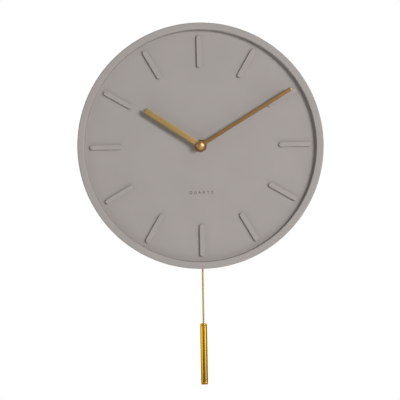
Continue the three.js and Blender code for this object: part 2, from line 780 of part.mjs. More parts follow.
function addMotor() {
  const plate = roundedPlate(stator.lowX, stator.highX, stator.lowZ, stator.highZ, 1.5);
  const magnetHole = new THREE.Path();
  magnetHole.absarc(rotorAt[0], rotorAt[1], stator.bore, 0, 2 * Math.PI);
  const { lowX, highX, lowZ, highZ } = coilWindow;
  const window = new THREE.Path();
  window.moveTo(lowX, lowZ);
  window.lineTo(highX, lowZ);
  window.lineTo(highX, highZ);
  window.lineTo(lowX, highZ);
  plate.holes.push(magnetHole, window);
  add("motor_stator", flat(plate, stator.frontY, stator.rearY, 3), "steel");
  const middleX = (lowX + highX) / 2;
  const core = box(middleX - 1, middleX + 1, stator.rearY, stator.rearY + 0.8, lowZ - 2, highZ + 1.5);
  const windings = box(lowX + 0.4, highX - 0.4, -23.4, -17.6, lowZ + 1.4, highZ - 1.4);
  const flanges = [lowZ + 0.5, highZ - 1.4].map((z) =>
    box(lowX + 0.2, highX - 0.2, -23.8, -17.2, z, z + 0.9),
  );
  add("motor_coil", join(core, windings, ...flanges), "copper");
}

function addCircuit() {
  const { halfWidth, lowZ, highZ, frontY, rearY } = board;
  const outline = roundedPlate(-halfWidth, halfWidth, lowZ, highZ, 1);
  add("circuit_board", flat(outline, frontY, rearY, 1), "greenBoard");
  const chipBody = box(-chip.halfWidth, chip.halfWidth, rearY, rearY + chip.height, chip.lowZ, chip.highZ);
  add("control_chip", chipBody, "blackPlastic");
  const { radius, length, x, leadSpacing, leadWidth, leadReach } = crystal;
  const can = new THREE.CylinderGeometry(radius, radius, length, 12).rotateZ(Math.PI / 2);
  const canY = rearY + radius + 0.1;
  const leadX = x + length / 2 - 0.2;
  const leads = [-1, 1].map((side) => {
    const leadZ = crystal.z + (side * leadSpacing) / 2;
    return box(leadX, leadX + leadReach, rearY, canY + 0.2, leadZ - leadWidth / 2, leadZ + leadWidth / 2);
  });
  add("quartz_crystal", join(can.translate(x, canY, crystal.z), ...leads), "steel");
  const coilRearY = housing.rearY - housing.wall;
  const { innerRadius, outerRadius } = driveCoil;
  const windings = ring(innerRadius, outerRadius, driveCoil.frontY, coilRearY, 0, driveCoil.z, 24);
  add("drive_coil", windings, "copper");
}

// A helical spring along X: a round wire that narrows towards the battery.
class SpringPath extends THREE.Curve {
  getPoint(t) {
    const angle = t * spring.turns * 2 * Math.PI;
    const radius = spring.wideRadius + (spring.narrowRadius - spring.wideRadius) * t;
    const x = spring.startX + spring.length * t;
    return new THREE.Vector3(x, radius * Math.cos(angle), radius * Math.sin(angle));
  }
}

function batteryCell() {
  const { radius, length, nubRadius, nubLength, centreY, centreZ } = battery;
  const can = new THREE.CylinderGeometry(radius, radius, length, 28).rotateZ(Math.PI / 2);
  const nub = new THREE.CylinderGeometry(nubRadius, nubRadius, nubLength + 1, 16).rotateZ(Math.PI / 2);
  return join(
    can.translate(battery.lowX + length / 2, centreY, centreZ),
    nub.translate(battery.lowX + length + (nubLength - 1) / 2, centreY, centreZ),
  );
}

function addBattery() {
  add("battery_cell", batteryCell(), "label");
  const { centreY, centreZ } = battery;
  const { thickness, frontReach, rearReach, halfHeight } = contact;
  const wallX = housing.halfWidth - housing.wall;
  const contactPlate = (lowX) =>
    box(
      lowX,
      lowX + thickness,
      centreY - frontReach,
      centreY + rearReach,
      centreZ - halfHeight,
      centreZ + halfHeight,
    );
  const wire = new THREE.Shape();
  wire.absarc(0, 0, spring.wireRadius, 0, 2 * Math.PI);
  const coil = new THREE.ExtrudeGeometry(wire, {
    steps: 9 * spring.turns,
    curveSegments: 3,
    bevelEnabled: false,
    extrudePath: new SpringPath(),
  });
  add("battery_spring", join(contactPlate(-wallX), coil.translate(-wallX, centreY, centreZ)), "steel");
  const tipX = battery.lowX + battery.length + battery.nubLength + dimple.gap;
  const baseX = wallX - thickness / 2;
  const bump = new THREE.CylinderGeometry(dimple.tipRadius, dimple.baseRadius, baseX - tipX, 10);
  const placedBump = bump.rotateZ(Math.PI / 2).translate((baseX + tipX) / 2, centreY, centreZ);
  add("battery_plate", join(contactPlate(wallX - thickness), placedBump), "steel");
}

// ---------------------------------------------------------------- pendulum

function addPivotPin() {
  const { z, radius, headRadius, headHeight } = pivot;
  const seatY = swingArm.rearY + 0.2;
  const profile = [
    [0, housing.rearY - housing.wall - 2],
    [radius, housing.rearY - housing.wall - 2],
    [radius, seatY],
    [headRadius, seatY],
    [headRadius, seatY + headHeight],
    [0, seatY + headHeight],
  ];
  add("pivot_pin", turned(profile, 14).translate(0, 0, z), "steel");
}

function swingArmBody() {
  const { frontY, rearY, eyeRadius, lowZ, footHalfWidth } = swingArm;
  const waist = 3;
  const outline = new THREE.Shape();
  outline.absarc(0, pivot.z, eyeRadius, -45 * degrees, 225 * degrees);
  outline.lineTo(-waist, pivot.z - 7);
  outline.lineTo(-waist, driveMagnet.z + 8);
  outline.lineTo(-footHalfWidth, driveMagnet.z + 4);
  outline.lineTo(-footHalfWidth, lowZ + 2);
  outline.lineTo(-footHalfWidth + 2, lowZ);
  outline.lineTo(footHalfWidth - 2, lowZ);
  outline.lineTo(footHalfWidth, lowZ + 2);
  outline.lineTo(footHalfWidth, driveMagnet.z + 4);
  outline.lineTo(waist, driveMagnet.z + 8);
  outline.lineTo(waist, pivot.z - 7);
  const hookPost = disc(hook.radius, rearY - 1, hook.rearY, 0, hook.z, 12);
  const hookHead = disc(hook.headRadius, hook.rearY - hook.headHeight, hook.rearY, 0, hook.z, 12);
  const pinHole = disc(pivot.radius + 0.15, frontY - 1, rearY + 1, 0, pivot.z, 12);
  const pocket = disc(driveMagnet.radius + slipGap, frontY - 1, rearY + 1, 0, driveMagnet.z, 18);
  return cut(join(flat(outline, frontY, rearY, 10), hookPost, hookHead), pinHole, pocket);
}

function pendulumRod() {
  const { radius, y, eyeInner, eyeOuter, eyeHalfDepth, endZ } = rod;
  const eye = ring(eyeInner, eyeOuter, y - eyeHalfDepth, y + eyeHalfDepth, 0, hook.z, 18);
  const topZ = hook.z - (eyeInner + eyeOuter) / 2;
  const wire = new THREE.CylinderGeometry(radius, radius, topZ - endZ, 10).rotateX(Math.PI / 2);
  return join(eye, wire.translate(0, y, (topZ + endZ) / 2));
}

// A body of revolution about the rod: the profile lists [radius, z], outer side towards +z.
function onRod(profile, segments) {
  return turned(profile, segments).rotateX(Math.PI / 2).translate(0, rod.y, 0);
}

function addPendulum() {
  add("swing_arm", swingArmBody(), "whitePlastic");
  const { radius, z, frontY, rearY } = driveMagnet;
  add("drive_magnet", disc(radius, frontY, rearY, 0, z, 18), "magnet");
  add("pendulum_rod", pendulumRod(), "brass");
  const tubeTopZ = bob.topZ - bob.capHeight;
  const tubeLowZ = bob.bottomZ + bob.capHeight;
  const bore = bob.radius - bob.wall;
  const tube = [
    [bore, tubeLowZ],
    [bob.radius, tubeLowZ],
    [bob.radius, tubeTopZ],
    [bore, tubeTopZ],
    [bore, tubeLowZ],
  ];
  add("bob_tube", onRod(tube, 20), "polishedBrass");
  const plug = bore - slipGap;
  const edge = 0.4;
  const rodHole = rod.radius + slipGap;
  const topCap = [
    [rodHole, tubeTopZ - bob.plugLength],
    [plug, tubeTopZ - bob.plugLength],
    [plug, tubeTopZ],
    [bob.radius, tubeTopZ],
    [bob.radius, bob.topZ - edge],
    [bob.radius - edge, bob.topZ],
    [rodHole, bob.topZ],
    [rodHole, tubeTopZ - bob.plugLength],
  ];
  add("bob_top_cap", onRod(topCap, 20), "polishedBrass");
  const bottomCap = [
    [0, bob.bottomZ],
    [bob.radius - edge, bob.bottomZ],
    [bob.radius, bob.bottomZ + edge],
    [bob.radius, tubeLowZ],
    [plug, tubeLowZ],
    [plug, tubeLowZ + bob.plugLength],
    [0, tubeLowZ + bob.plugLength],
  ];
  add("bob_bottom_cap", onRod(bottomCap, 20), "polishedBrass");
}

addCase();
addHanger();
addHands();
addClamp();
addGearTrain();
addKnob();
addHousing();
addMotor();
addCircuit();
addBattery();
addPivotPin();
addPendulum();

export default clock;
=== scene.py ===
import json
import math

import bmesh
import bpy
from mathutils import Matrix, Vector


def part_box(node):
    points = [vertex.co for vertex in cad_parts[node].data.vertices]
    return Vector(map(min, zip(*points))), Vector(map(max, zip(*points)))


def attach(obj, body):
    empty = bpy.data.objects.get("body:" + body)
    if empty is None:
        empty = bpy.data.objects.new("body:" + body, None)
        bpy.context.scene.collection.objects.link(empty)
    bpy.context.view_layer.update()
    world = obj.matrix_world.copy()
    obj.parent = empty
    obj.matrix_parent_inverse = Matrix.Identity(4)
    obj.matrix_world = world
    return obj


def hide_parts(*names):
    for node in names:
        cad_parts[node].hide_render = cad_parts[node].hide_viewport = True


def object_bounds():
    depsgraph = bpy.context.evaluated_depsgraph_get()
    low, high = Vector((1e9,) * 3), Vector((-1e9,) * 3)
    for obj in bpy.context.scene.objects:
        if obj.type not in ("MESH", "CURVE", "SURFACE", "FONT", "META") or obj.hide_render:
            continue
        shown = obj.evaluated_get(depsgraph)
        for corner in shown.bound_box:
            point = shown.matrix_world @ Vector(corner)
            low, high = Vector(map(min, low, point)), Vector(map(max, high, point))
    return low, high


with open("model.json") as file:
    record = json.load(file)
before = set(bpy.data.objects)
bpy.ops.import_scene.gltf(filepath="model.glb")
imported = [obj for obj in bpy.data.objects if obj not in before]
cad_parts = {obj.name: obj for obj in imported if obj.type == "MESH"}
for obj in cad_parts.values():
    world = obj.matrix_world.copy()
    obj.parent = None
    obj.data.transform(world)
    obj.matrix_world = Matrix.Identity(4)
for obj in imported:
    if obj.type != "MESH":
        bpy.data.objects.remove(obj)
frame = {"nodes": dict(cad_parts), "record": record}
cad_low, cad_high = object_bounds()

# The looks of a pendulum wall clock. Pieces are drawn in millimetres from the dial's centre, with x to
# the right, y away from the viewer and z up, and become metres when they are made. The wall is y = 0.
MM = 0.001
plate_low, plate_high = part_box("dial_plate")
DIAL = Vector(((plate_low.x + plate_high.x) / 2, 0, (plate_low.z + plate_high.z) / 2))


def box_of(node):
    """The corners of a CAD node, in millimetres from the dial's centre."""
    low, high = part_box(node)
    return (low - DIAL) / MM, (high - DIAL) / MM


# ---------------- outlines and bodies


def rounded(corners, steps=4):
    """A closed outline from corners (a, b, radius), each one turned into an arc of its radius."""
    points = []
    for index, (a, b, radius) in enumerate(corners):
        here = Vector((a, b))
        if radius == 0:
            points.append(here)
            continue
        before = (Vector(corners[index - 1][:2]) - here).normalized()
        after = (Vector(corners[(index + 1) % len(corners)][:2]) - here).normalized()
        half = before.angle(after) / 2
        centre = here + (before + after).normalized() * radius / math.sin(half)
        start = here + before * radius / math.tan(half) - centre
        end = here + after * radius / math.tan(half) - centre
        turn = math.pi - 2 * half
        for step in range(steps + 1):
            share = step / steps
            blend = start * math.sin((1 - share) * turn) + end * math.sin(share * turn)
            points.append(centre + blend / math.sin(turn))
    return points


def polar(radius, turn, x=0.0, z=0.0):
    """A point at a radius and an angle from another point."""
    return Vector((x + radius * math.cos(turn), z + radius * math.sin(turn)))


def circle(radius, x=0.0, z=0.0, steps=32):
    """A round outline."""
    return [polar(radius, 2 * math.pi * step / steps, x, z) for step in range(steps)]


def stadium(half_width, low_z, high_z, steps=16):
    """A slot-shaped outline along z with half-round ends."""
    points = []
    for middle, first in ((high_z - half_width, 0), (low_z + half_width, math.pi)):
        for step in range(steps + 1):
            points.append(polar(half_width, first + math.pi * step / steps, 0.0, middle))
    return points


def rectangle(low_x, high_x, low_z, high_z, corner=0.0):
    """A rectangular outline with corners of one radius."""
    corners = [(low_x, low_z), (high_x, low_z), (high_x, high_z), (low_x, high_z)]
    return rounded([(x, z, corner) for x, z in corners])


SAME_POINT = 1e-4


def tidy(body):
    """Welds a body, drops loose edges and turns its faces out."""
    bmesh.ops.remove_doubles(body, verts=body.verts, dist=SAME_POINT)
    loose = [edge for edge in body.edges if not edge.link_faces]
    bmesh.ops.delete(body, geom=loose, context="EDGES")
    bmesh.ops.recalc_face_normals(body, faces=body.faces)
    return body


def turned(profile, segments=64):
    """A body of revolution about y, from the points (radius, y) of a closed profile."""
    body = bmesh.new()
    rings = []
    for index in range(segments):
        turn = 2 * math.pi * index / segments
        ring = [body.verts.new((r * math.cos(turn), y, r * math.sin(turn))) for r, y in profile]
        rings.append(ring)
    for index, ring in enumerate(rings):
        following = rings[(index + 1) % segments]
        for step in range(len(profile)):
            back = step - 1
            body.faces.new((ring[back], following[back], following[step], ring[step]))
    return tidy(body)


def prism(outline, front_y, rear_y):
    """A flat body with an outline in x and z, between two depths."""
    body = bmesh.new()
    front = [body.verts.new((x, front_y, z)) for x, z in outline]
    rear = [body.verts.new((x, rear_y, z)) for x, z in outline]
    body.faces.new(front)
    body.faces.new(reversed(rear))
    for index in range(len(outline)):
        body.faces.new((front[index - 1], rear[index - 1], rear[index], front[index]))
    return tidy(body)


def layered(outlines, depths):
    """A body through outlines of equal counts in x and z, one behind the other at these depths."""
    body = bmesh.new()
    rings = []
    for outline, y in zip(outlines, depths):
        rings.append([body.verts.new((x, y, z)) for x, z in outline])
    for front, rear in zip(rings, rings[1:]):
        for index in range(len(front)):
            body.faces.new((front[index - 1], rear[index - 1], rear[index], front[index]))
    body.faces.new(rings[0])
    body.faces.new(reversed(rings[-1]))
    return tidy(body)


def block(low, high):
    """A plain box between two corners."""
    body = bmesh.new()
    bmesh.ops.create_cube(body, size=1)
    for vertex in body.verts:
        vertex.co = Vector((low[i] if vertex.co[i] < 0 else high[i]) for i in range(3))
    return body


def swept(points, radii, sides=16):
    """A round wire along a list of points, with its radius at each."""
    body = bmesh.new()
    rings = []
    side = Vector((0, 1, 0))
    for index, (point, radius) in enumerate(zip(points, radii)):
        ahead = points[min(index + 1, len(points) - 1)] - points[max(index - 1, 0)]
        side = (side - ahead * side.dot(ahead) / ahead.length_squared).normalized()
        across = ahead.normalized().cross(side)
        turns = [2 * math.pi * step / sides for step in range(sides)]
        ring = [point + (side * math.cos(t) + across * math.sin(t)) * radius for t in turns]
        rings.append([body.verts.new(p) for p in ring])
    for first, second in zip(rings, rings[1:]):
        for step in range(sides):
            body.faces.new((first[step - 1], second[step - 1], second[step], first[step]))
    body.faces.new(rings[0])
    body.faces.new(rings[-1])
    return tidy(body)


def moved(body, x=0.0, y=0.0, z=0.0, turn_y=0.0):
    """A body turned about y and then shifted."""
    body.transform(Matrix.Translation((x, y, z)) @ Matrix.Rotation(math.radians(turn_y), 4, "Y"))
    return body


def upright(body, x=0.0, y=0.0, z=0.0):
    """A body of revolution about y, stood up so that its +y points along +z."""
    body.transform(Matrix.Translation((x, y, z)) @ Matrix.Rotation(math.radians(90), 4, "X"))
    return body


def sideways(body, x=0.0, y=0.0, z=0.0):
    """A body of revolution about y, laid down so that its +y points along +x."""
    body.transform(Matrix.Translation((x, y, z)) @ Matrix.Rotation(math.radians(-90), 4, "Z"))
    return body


def gathered(*bodies):
    """Several separate bodies as one."""
    whole = bodies[0]
    for body in bodies[1:]:
        mesh = bpy.data.meshes.new("gathered")
        body.to_mesh(mesh)
        body.free()
        whole.from_mesh(mesh)
        bpy.data.meshes.remove(mesh)
    return whole


# ---------------- objects


def in_scene(name, data):
    """A new object in the scene that shows a mesh, a text, a lamp or a camera."""
    made = bpy.data.objects.new(name, data)
    bpy.context.scene.collection.objects.link(made)
    return made


def as_object(name, body):
    """An object in the scene from a body, which is used up."""
    mesh = bpy.data.meshes.new(name)
    body.to_mesh(mesh)
    body.free()
    return in_scene(name, mesh)


def with_modifiers(made):
    """The mesh of an object as its modifiers leave it."""
    graph = bpy.context.evaluated_depsgraph_get()
    return bpy.data.meshes.new_from_object(made.evaluated_get(graph))


def combined(body, others, operation):
    """A body cut by others, or joined with them."""
    base = as_object("base", body)
    tools = [as_object("tool", other) for other in others]
    for tool in tools:
        modifier = base.modifiers.new("combine", "BOOLEAN")
        modifier.object = tool
        modifier.operation = operation
        modifier.solver = "EXACT"
    mesh = with_modifiers(base)
    result = bmesh.new()
    result.from_mesh(mesh)
    for scrap in (base, *tools):
        bpy.data.objects.remove(scrap)
    bpy.data.meshes.remove(mesh)
    return result


def cut(body, *tools):
    return combined(body, tools, "DIFFERENCE")


def joined(body, *others):
    return combined(body, others, "UNION")


FRAME_WELD = 1e-3
SHARP_ANGLE = 38


def copied(node):
    """The shape of a CAD node, with its flat faces whole."""
    body = bmesh.new()
    body.from_mesh(frame["nodes"][node].data)
    body.transform(Matrix.Scale(1 / MM, 4) @ Matrix.Translation(-DIAL))
    bmesh.ops.remove_doubles(body, verts=body.verts, dist=FRAME_WELD)
    flat_angle = math.radians(0.5)
    bmesh.ops.dissolve_limit(body, angle_limit=flat_angle, verts=body.verts, edges=body.edges)
    return body


def soften(made, width, segments):
    """Rounds the sharp edges of an object by a modifier."""
    modifier = made.modifiers.new("edges", "BEVEL")
    modifier.width = width * MM
    modifier.segments = segments
    modifier.limit_method = "ANGLE"
    modifier.angle_limit = math.radians(SHARP_ANGLE)
    modifier.miter_outer = "MITER_ARC"


def even_normals(made):
    """Shades flat faces flat and lets the narrow rounded edges take up the turn."""
    modifier = made.modifiers.new("normals", "WEIGHTED_NORMAL")
    modifier.keep_sharp = True


def piece(name, body, material, rides, nodes=None, edge=0.0, segments=3, turn=0.0, smooth=40):
    """Makes a visible piece, hangs it on the empty of the body it rides on and hides the nodes it
    stands for:
    the one with its own name, unless others are given."""
    body.transform(Matrix.Scale(MM, 4))
    made = as_object(name, body)
    if edge:
        soften(made, edge, segments)
        mesh = with_modifiers(made)
        made.modifiers.clear()
        made.data = mesh
    for polygon in made.data.polygons:
        polygon.use_smooth = True
    made.data.set_sharp_from_angle(angle=math.radians(smooth))
    even_normals(made)
    made.data.materials.clear()
    made.data.materials.append(material)
    made.matrix_world = Matrix.Translation(DIAL) @ Matrix.Rotation(math.radians(turn), 4, "Y")
    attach(made, rides)
    if nodes is None:
        nodes = [name]
    if nodes:
        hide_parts(*nodes)


# ---------------- materials


# The colour sockets of a Mix node, whose names are shared by its sockets of other types.
MIX_FIRST, MIX_SECOND, MIX_RESULT = 6, 7, 2


def fill(node, values):
    """Sets sockets of a node by their names."""
    for socket, value in values.items():
        node.inputs[socket].default_value = value


class Surface:
    """A procedural material: a shader and the nodes that feed it."""

    def __init__(self, name, colour, metallic=0.0, roughness=0.5, **sockets):
        self.material = bpy.data.materials.new(name)
        self.material.use_nodes = True
        self.nodes = self.material.node_tree.nodes
        self.links = self.material.node_tree.links
        self.shader = self.nodes["Principled BSDF"]
        self.colour = colour
        self.roughness = roughness
        self.shader.inputs["Metallic"].default_value = metallic
        for socket, value in sockets.items():
            self.shader.inputs[socket.replace("_", " ")].default_value = value
        self.place = self.nodes.new("ShaderNodeTexCoord").outputs["Object"]

    def stretched(self, scale):
        """The piece's own coordinates, scaled along each axis, in millimetres where scale is 1."""
        mapping = self.nodes.new("ShaderNodeMapping")
        mapping.inputs["Scale"].default_value = [number / MM for number in scale]
        self.links.new(self.place, mapping.inputs["Vector"])
        return mapping.outputs["Vector"]

    def noise(self, size, detail=4.0, stretch=(1, 1, 1)):
        """Noise with features about size millimetres across."""
        node = self.nodes.new("ShaderNodeTexNoise")
        fill(node, {"Scale": 1 / size, "Detail": detail})
        self.links.new(self.stretched(stretch), node.inputs["Vector"])
        return node.outputs["Fac"]

    def ranged(self, value, low, high, from_low=0.3, from_high=0.7):
        """A value stretched from the usual range of noise to another range."""
        node = self.nodes.new("ShaderNodeMapRange")
        fill(node, {"From Min": from_low, "From Max": from_high, "To Min": low, "To Max": high})
        self.links.new(value, node.inputs["Value"])
        return node.outputs["Result"]

    def maths(self, operation, first, second=0.0):
        node = self.nodes.new("ShaderNodeMath")
        node.operation = operation
        for socket, value in zip(node.inputs, (first, second)):
            if isinstance(value, (int, float)):
                socket.default_value = value
            else:
                self.links.new(value, socket)
        return node.outputs["Value"]

    def blended(self, first, first_share, second, second_share):
        """A weighed sum of two values."""
        first_part = self.maths("MULTIPLY", first, first_share)
        return self.maths("ADD", first_part, self.maths("MULTIPLY", second, second_share))

    def mixed(self, share, first, second):
        """One colour or colour socket turning into another."""
        node = self.nodes.new("ShaderNodeMix")
        node.data_type = "RGBA"
        self.links.new(share, node.inputs["Factor"])
        for index, value in ((MIX_FIRST, first), (MIX_SECOND, second)):
            socket = node.inputs[index]
            if isinstance(value, tuple):
                socket.default_value = (*value, 1)
            else:
                self.links.new(value, socket)
        return node.outputs[MIX_RESULT]

    def tinted(self, share, spread):
        """The colour, lighter and darker by a share of itself."""
        darker = tuple(channel * (1 - spread) for channel in self.colour)
        lighter = tuple(min(1, channel * (1 + spread)) for channel in self.colour)
        return self.mixed(share, darker, lighter)

    def paint(self, colour_socket):
        self.links.new(colour_socket, self.shader.inputs["Base Color"])

    def rough(self, value, spread):
        """Roughness that varies with a value around the surface's own."""
        low, high = self.roughness - spread, self.roughness + spread
        self.links.new(self.ranged(value, low, high), self.shader.inputs["Roughness"])

    def bumps(self, *heights):
        """Bumps of (height socket, depth in millimetres, strength), one on the other."""
        normal = None
        for height, depth, strength in heights:
            node = self.nodes.new("ShaderNodeBump")
            fill(node, {"Strength": strength, "Distance": depth * MM})
            self.links.new(height, node.inputs["Height"])
            if normal:
                self.links.new(normal, node.inputs["Normal"])
            normal = node.outputs["Normal"]
        self.links.new(normal, self.shader.inputs["Normal"])


def slot_colour(slot, shade=(1, 1, 1)):
    """The record's own colour of a material slot, darkened by a share of each channel."""
    found = [row for row in frame["record"]["materials"] if row["slot"] == slot]
    return tuple(channel * share for channel, share in zip(found[0]["base_color"], shade))


def painted(slot, roughness, peel, spread=0.02, shade=(1, 1, 1), **sockets):
    """Sprayed matt paint: a fine orange peel, dust-sized specks and barely uneven colour."""
    made = Surface(slot, slot_colour(slot, shade), roughness=roughness, **sockets)
    cloud = made.noise(38, 3)
    grain = made.noise(0.55, 5)
    specks = made.ranged(made.noise(0.9, 2), 0, 1, from_low=0.66, from_high=0.78)
    plain = made.tinted(made.ranged(cloud, 0, 1), spread)
    darker = tuple(channel * 0.8 for channel in made.colour)
    made.paint(made.mixed(made.maths("MULTIPLY", specks, 0.35), plain, darker))
    made.rough(grain, 0.07)
    made.bumps((grain, peel, 0.6), (made.noise(3.2, 2), peel * 3, 0.25))
    return made.material


def moulded(slot, roughness, texture, **sockets):
    """Moulded plastic: a spark-eroded grain, faint flow lines and handling marks."""
    made = Surface(slot, slot_colour(slot), roughness=roughness, **sockets)
    grain = made.noise(texture, 4)
    flow = made.noise(7, 3, (1, 1, 0.25))
    made.paint(made.tinted(made.ranged(flow, 0, 1), 0.1))
    made.rough(made.blended(grain, 0.6, flow, 0.4), 0.09)
    made.bumps((grain, texture * 0.12, 0.5), (flow, 0.05, 0.1))
    return made.material


def brushed(slot, roughness, stretch, line=0.16, depth=0.012, spread=0.1, wear=0.08, **looks):
    """Metal with fine lines along one axis, given by a small number in stretch, and soft smudges."""
    shade = looks.pop("shade", (1, 1, 1))
    made = Surface(slot, slot_colour(slot, shade), 1.0, roughness, **looks)
    lines = made.noise(line, 3, stretch)
    broad = made.noise(line * 4, 2, stretch)
    smudge = made.noise(14, 3)
    both = made.blended(lines, 0.6, broad, 0.4)
    made.paint(made.tinted(made.ranged(both, 0, 1), spread))
    made.rough(made.blended(both, 0.5, smudge, 0.5), wear)
    made.bumps((lines, depth, 0.5), (broad, depth, 0.3))
    return made.material


def polished(slot, roughness, shade=(1, 1, 1), **sockets):
    """Polished metal: fine random hairlines, small pits and breath-like dull patches."""
    made = Surface(slot, slot_colour(slot, shade), 1.0, roughness, **sockets)
    patches = made.noise(5, 4)
    hairlines = made.noise(0.12, 2, (1, 1, 0.06))
    made.paint(made.tinted(made.ranged(patches, 0, 1), 0.05))
    made.rough(patches, roughness * 0.35)
    made.bumps((hairlines, 0.003, 0.25), (made.noise(1.5, 3), 0.01, 0.08))
    return made.material


def wound(slot):
    """Enamelled wire wound side by side: rounded ridges across z, with painted shade in the grooves and
    painted light on the tops.
    """
    made = Surface(slot, slot_colour(slot), 1.0, 0.32, Coat_Weight=0.5)
    wave = made.nodes.new("ShaderNodeTexWave")
    wave.bands_direction = "Z"
    fill(wave, {"Scale": 1.6, "Distortion": 0.4})
    made.links.new(made.stretched((1, 1, 1)), wave.inputs["Vector"])
    ridges = wave.outputs["Fac"]
    # Painted shade and light: the colour is darker in the grooves between turns and lighter on the
    # ridge tops.
    made.paint(made.tinted(ridges, 0.25))
    made.rough(made.noise(1.2, 3), 0.08)
    made.bumps((ridges, 0.12, 0.8))
    return made.material


def circuit():
    """A solder mask with paler copper tracks under it."""
    made = Surface("board_green", slot_colour("board_green"), roughness=0.38, Coat_Weight=0.3)
    tracks = made.nodes.new("ShaderNodeTexBrick")
    black, white = (0, 0, 0, 1), (1, 1, 1, 1)
    fill(tracks, {"Scale": 0.36, "Mortar Size": 0.09})
    fill(tracks, {"Color1": black, "Color2": black, "Mortar": white})
    turned_place = made.nodes.new("ShaderNodeMapping")
    turned_place.inputs["Rotation"].default_value = (math.radians(90), 0, 0)
    made.links.new(made.stretched((1, 1, 1)), turned_place.inputs["Vector"])
    made.links.new(turned_place.outputs["Vector"], tracks.inputs["Vector"])
    plain = made.tinted(made.ranged(made.noise(4, 3), 0, 1), 0.12)
    pale = tuple(min(1, channel * 2.1 + 0.01) for channel in made.colour)
    made.paint(made.mixed(tracks.outputs["Color"], plain, pale))
    made.rough(made.noise(0.8, 3), 0.06)
    made.bumps((tracks.outputs["Color"], 0.05, 0.6), (made.noise(0.3, 3), 0.01, 0.3))
    return made.material


def sleeve(low_x, high_x):
    """A printed battery sleeve: coloured, with a pale band and a dark line by the positive end."""
    made = Surface("battery_label", slot_colour("battery_label"), roughness=0.3, Coat_Weight=0.4)
    apart = made.nodes.new("ShaderNodeSeparateXYZ")
    made.links.new(made.stretched((1, 1, 1)), apart.inputs["Vector"])
    along = made.ranged(apart.outputs["X"], 0, 1, from_low=low_x, from_high=high_x)
    band_start, line_middle, half_line = 0.72, 0.70, 0.008
    band = made.maths("GREATER_THAN", along, band_start)
    from_line = made.maths("ABSOLUTE", made.maths("SUBTRACT", along, line_middle))
    line = made.maths("LESS_THAN", from_line, half_line)
    body_colour = made.tinted(made.ranged(made.noise(6, 3), 0, 1), 0.08)
    banded = made.mixed(band, body_colour, (0.62, 0.62, 0.6))
    made.paint(made.mixed(line, banded, (0.02, 0.02, 0.025)))
    made.rough(made.noise(3, 4), 0.07)
    made.bumps((made.noise(0.5, 3), 0.01, 0.2))
    return made.material


# The paint is a little darker and warmer than the record's colour. Brushed lines run along the hands
# and the pendulum, and round the axis of what is turned on a lathe.
WARM = (0.98, 0.96, 0.965)
ALONG_HAND = (1, 1, 0.02)
LATHE_TURNED = (0.5, 3, 0.5)
HAND_LINES = {"depth": 0.006, "Anisotropic": 0.3}
case_paint = painted("case_paint", 0.7, 0.02, shade=WARM, Specular_IOR_Level=0.3)
dial_paint = painted("dial_paint", 0.78, 0.016, shade=WARM, Specular_IOR_Level=0.3)
hour_gold = brushed("hour_hand_gold", 0.46, ALONG_HAND, shade=(0.9, 0.93, 0.97), **HAND_LINES)
# The minute hand's gold is darkened well below the hour hand's: a painted shade for the darker
# reflection it takes at its angle to the lights.
minute_gold_painted_shade = brushed("minute_hand_gold", 0.42, ALONG_HAND, shade=(0.72, 0.75, 0.84), **HAND_LINES)
cap_brass = polished("cap_brass", 0.5, shade=(1, 0.92, 1))
rod_lines = {"line": 0.1, "depth": 0.001, "spread": 0.04, "wear": 0.05}
rod_brass = brushed("rod_brass", 0.34, (1, 1, 0.05), shade=(0.95, 0.9, 0.7), **rod_lines)
bob_lines = {"line": 0.12, "depth": 0.0002, "spread": 0.04, "wear": 0.03}
bob_looks = {"shade": (1, 0.97, 0.6), "Specular_Tint": (1, 0.75, 0.3, 1)}
bob_brass = brushed("bob_brass", 0.16, (1, 1, 0.015), **bob_lines, **bob_looks)
machined_brass = brushed("movement_brass", 0.3, LATHE_TURNED, line=0.2, depth=0.008)
nut_brass = brushed("nut_brass", 0.42, LATHE_TURNED, line=0.2, depth=0.006)
housing_plastic = moulded("movement_plastic", 0.5, 0.35, Specular_IOR_Level=0.4)
black_plastic = moulded("black_plastic", 0.58, 0.45, Specular_IOR_Level=0.4)
white_plastic = moulded("white_plastic", 0.4, 0.3)
rubber = moulded("rubber", 0.85, 0.4, Specular_IOR_Level=0.25)
zinc = brushed("zinc_steel", 0.34, (0.04, 1, 1), line=0.25, depth=0.008, wear=0.12)
contact_steel = brushed("contact_steel", 0.24, (1, 1, 0.06), line=0.15, depth=0.004)
motor_steel = brushed("motor_steel", 0.4, (1, 1, 0.1), line=0.2, depth=0.01)
magnet_nickel = polished("magnet", 0.22)
copper = wound("copper_wire")
board = circuit()


# ---------------- case ring, dial and hour bars

ring_low, ring_high = box_of("case_ring")
plate_box_low, plate_box_high = box_of("dial_plate")
OUTER = ring_high.x
FRONT = ring_low.y
DIAL_FRONT = plate_box_low.y
DIAL_CLEARANCE = 0.3
FLANGE_WIDTH = 6
LIP_SLANT = 0.5
WALL_INNER = plate_box_high.x + DIAL_CLEARANCE
FLANGE_RADIUS = WALL_INNER - FLANGE_WIDTH
LIP_RADIUS = FLANGE_RADIUS + LIP_SLANT

# The radii of the screws' pilot holes.
DIAL_SCREW_HOLE = 1.2
HANGER_SCREW_HOLE = 1.4
# How far a cutting tool stands out past what it cuts.
PAST = 1
dial_screws = [f"dial_screw_{number}" for number in range(1, 5)]
hanger_screws = ["hanger_screw_1", "hanger_screw_2"]


def middle(node):
    """The middle of a CAD node's box."""
    low, high = box_of(node)
    return (low + high) / 2


def pilot(node, radius, reach=0.6):
    """The hole that a screw along y stands in, a little deeper than its tip."""
    low, high = box_of(node)
    place = middle(node)
    tip_room = 0.3
    return prism(circle(radius, place.x, place.z, 20), low.y - tip_room, high.y + reach)


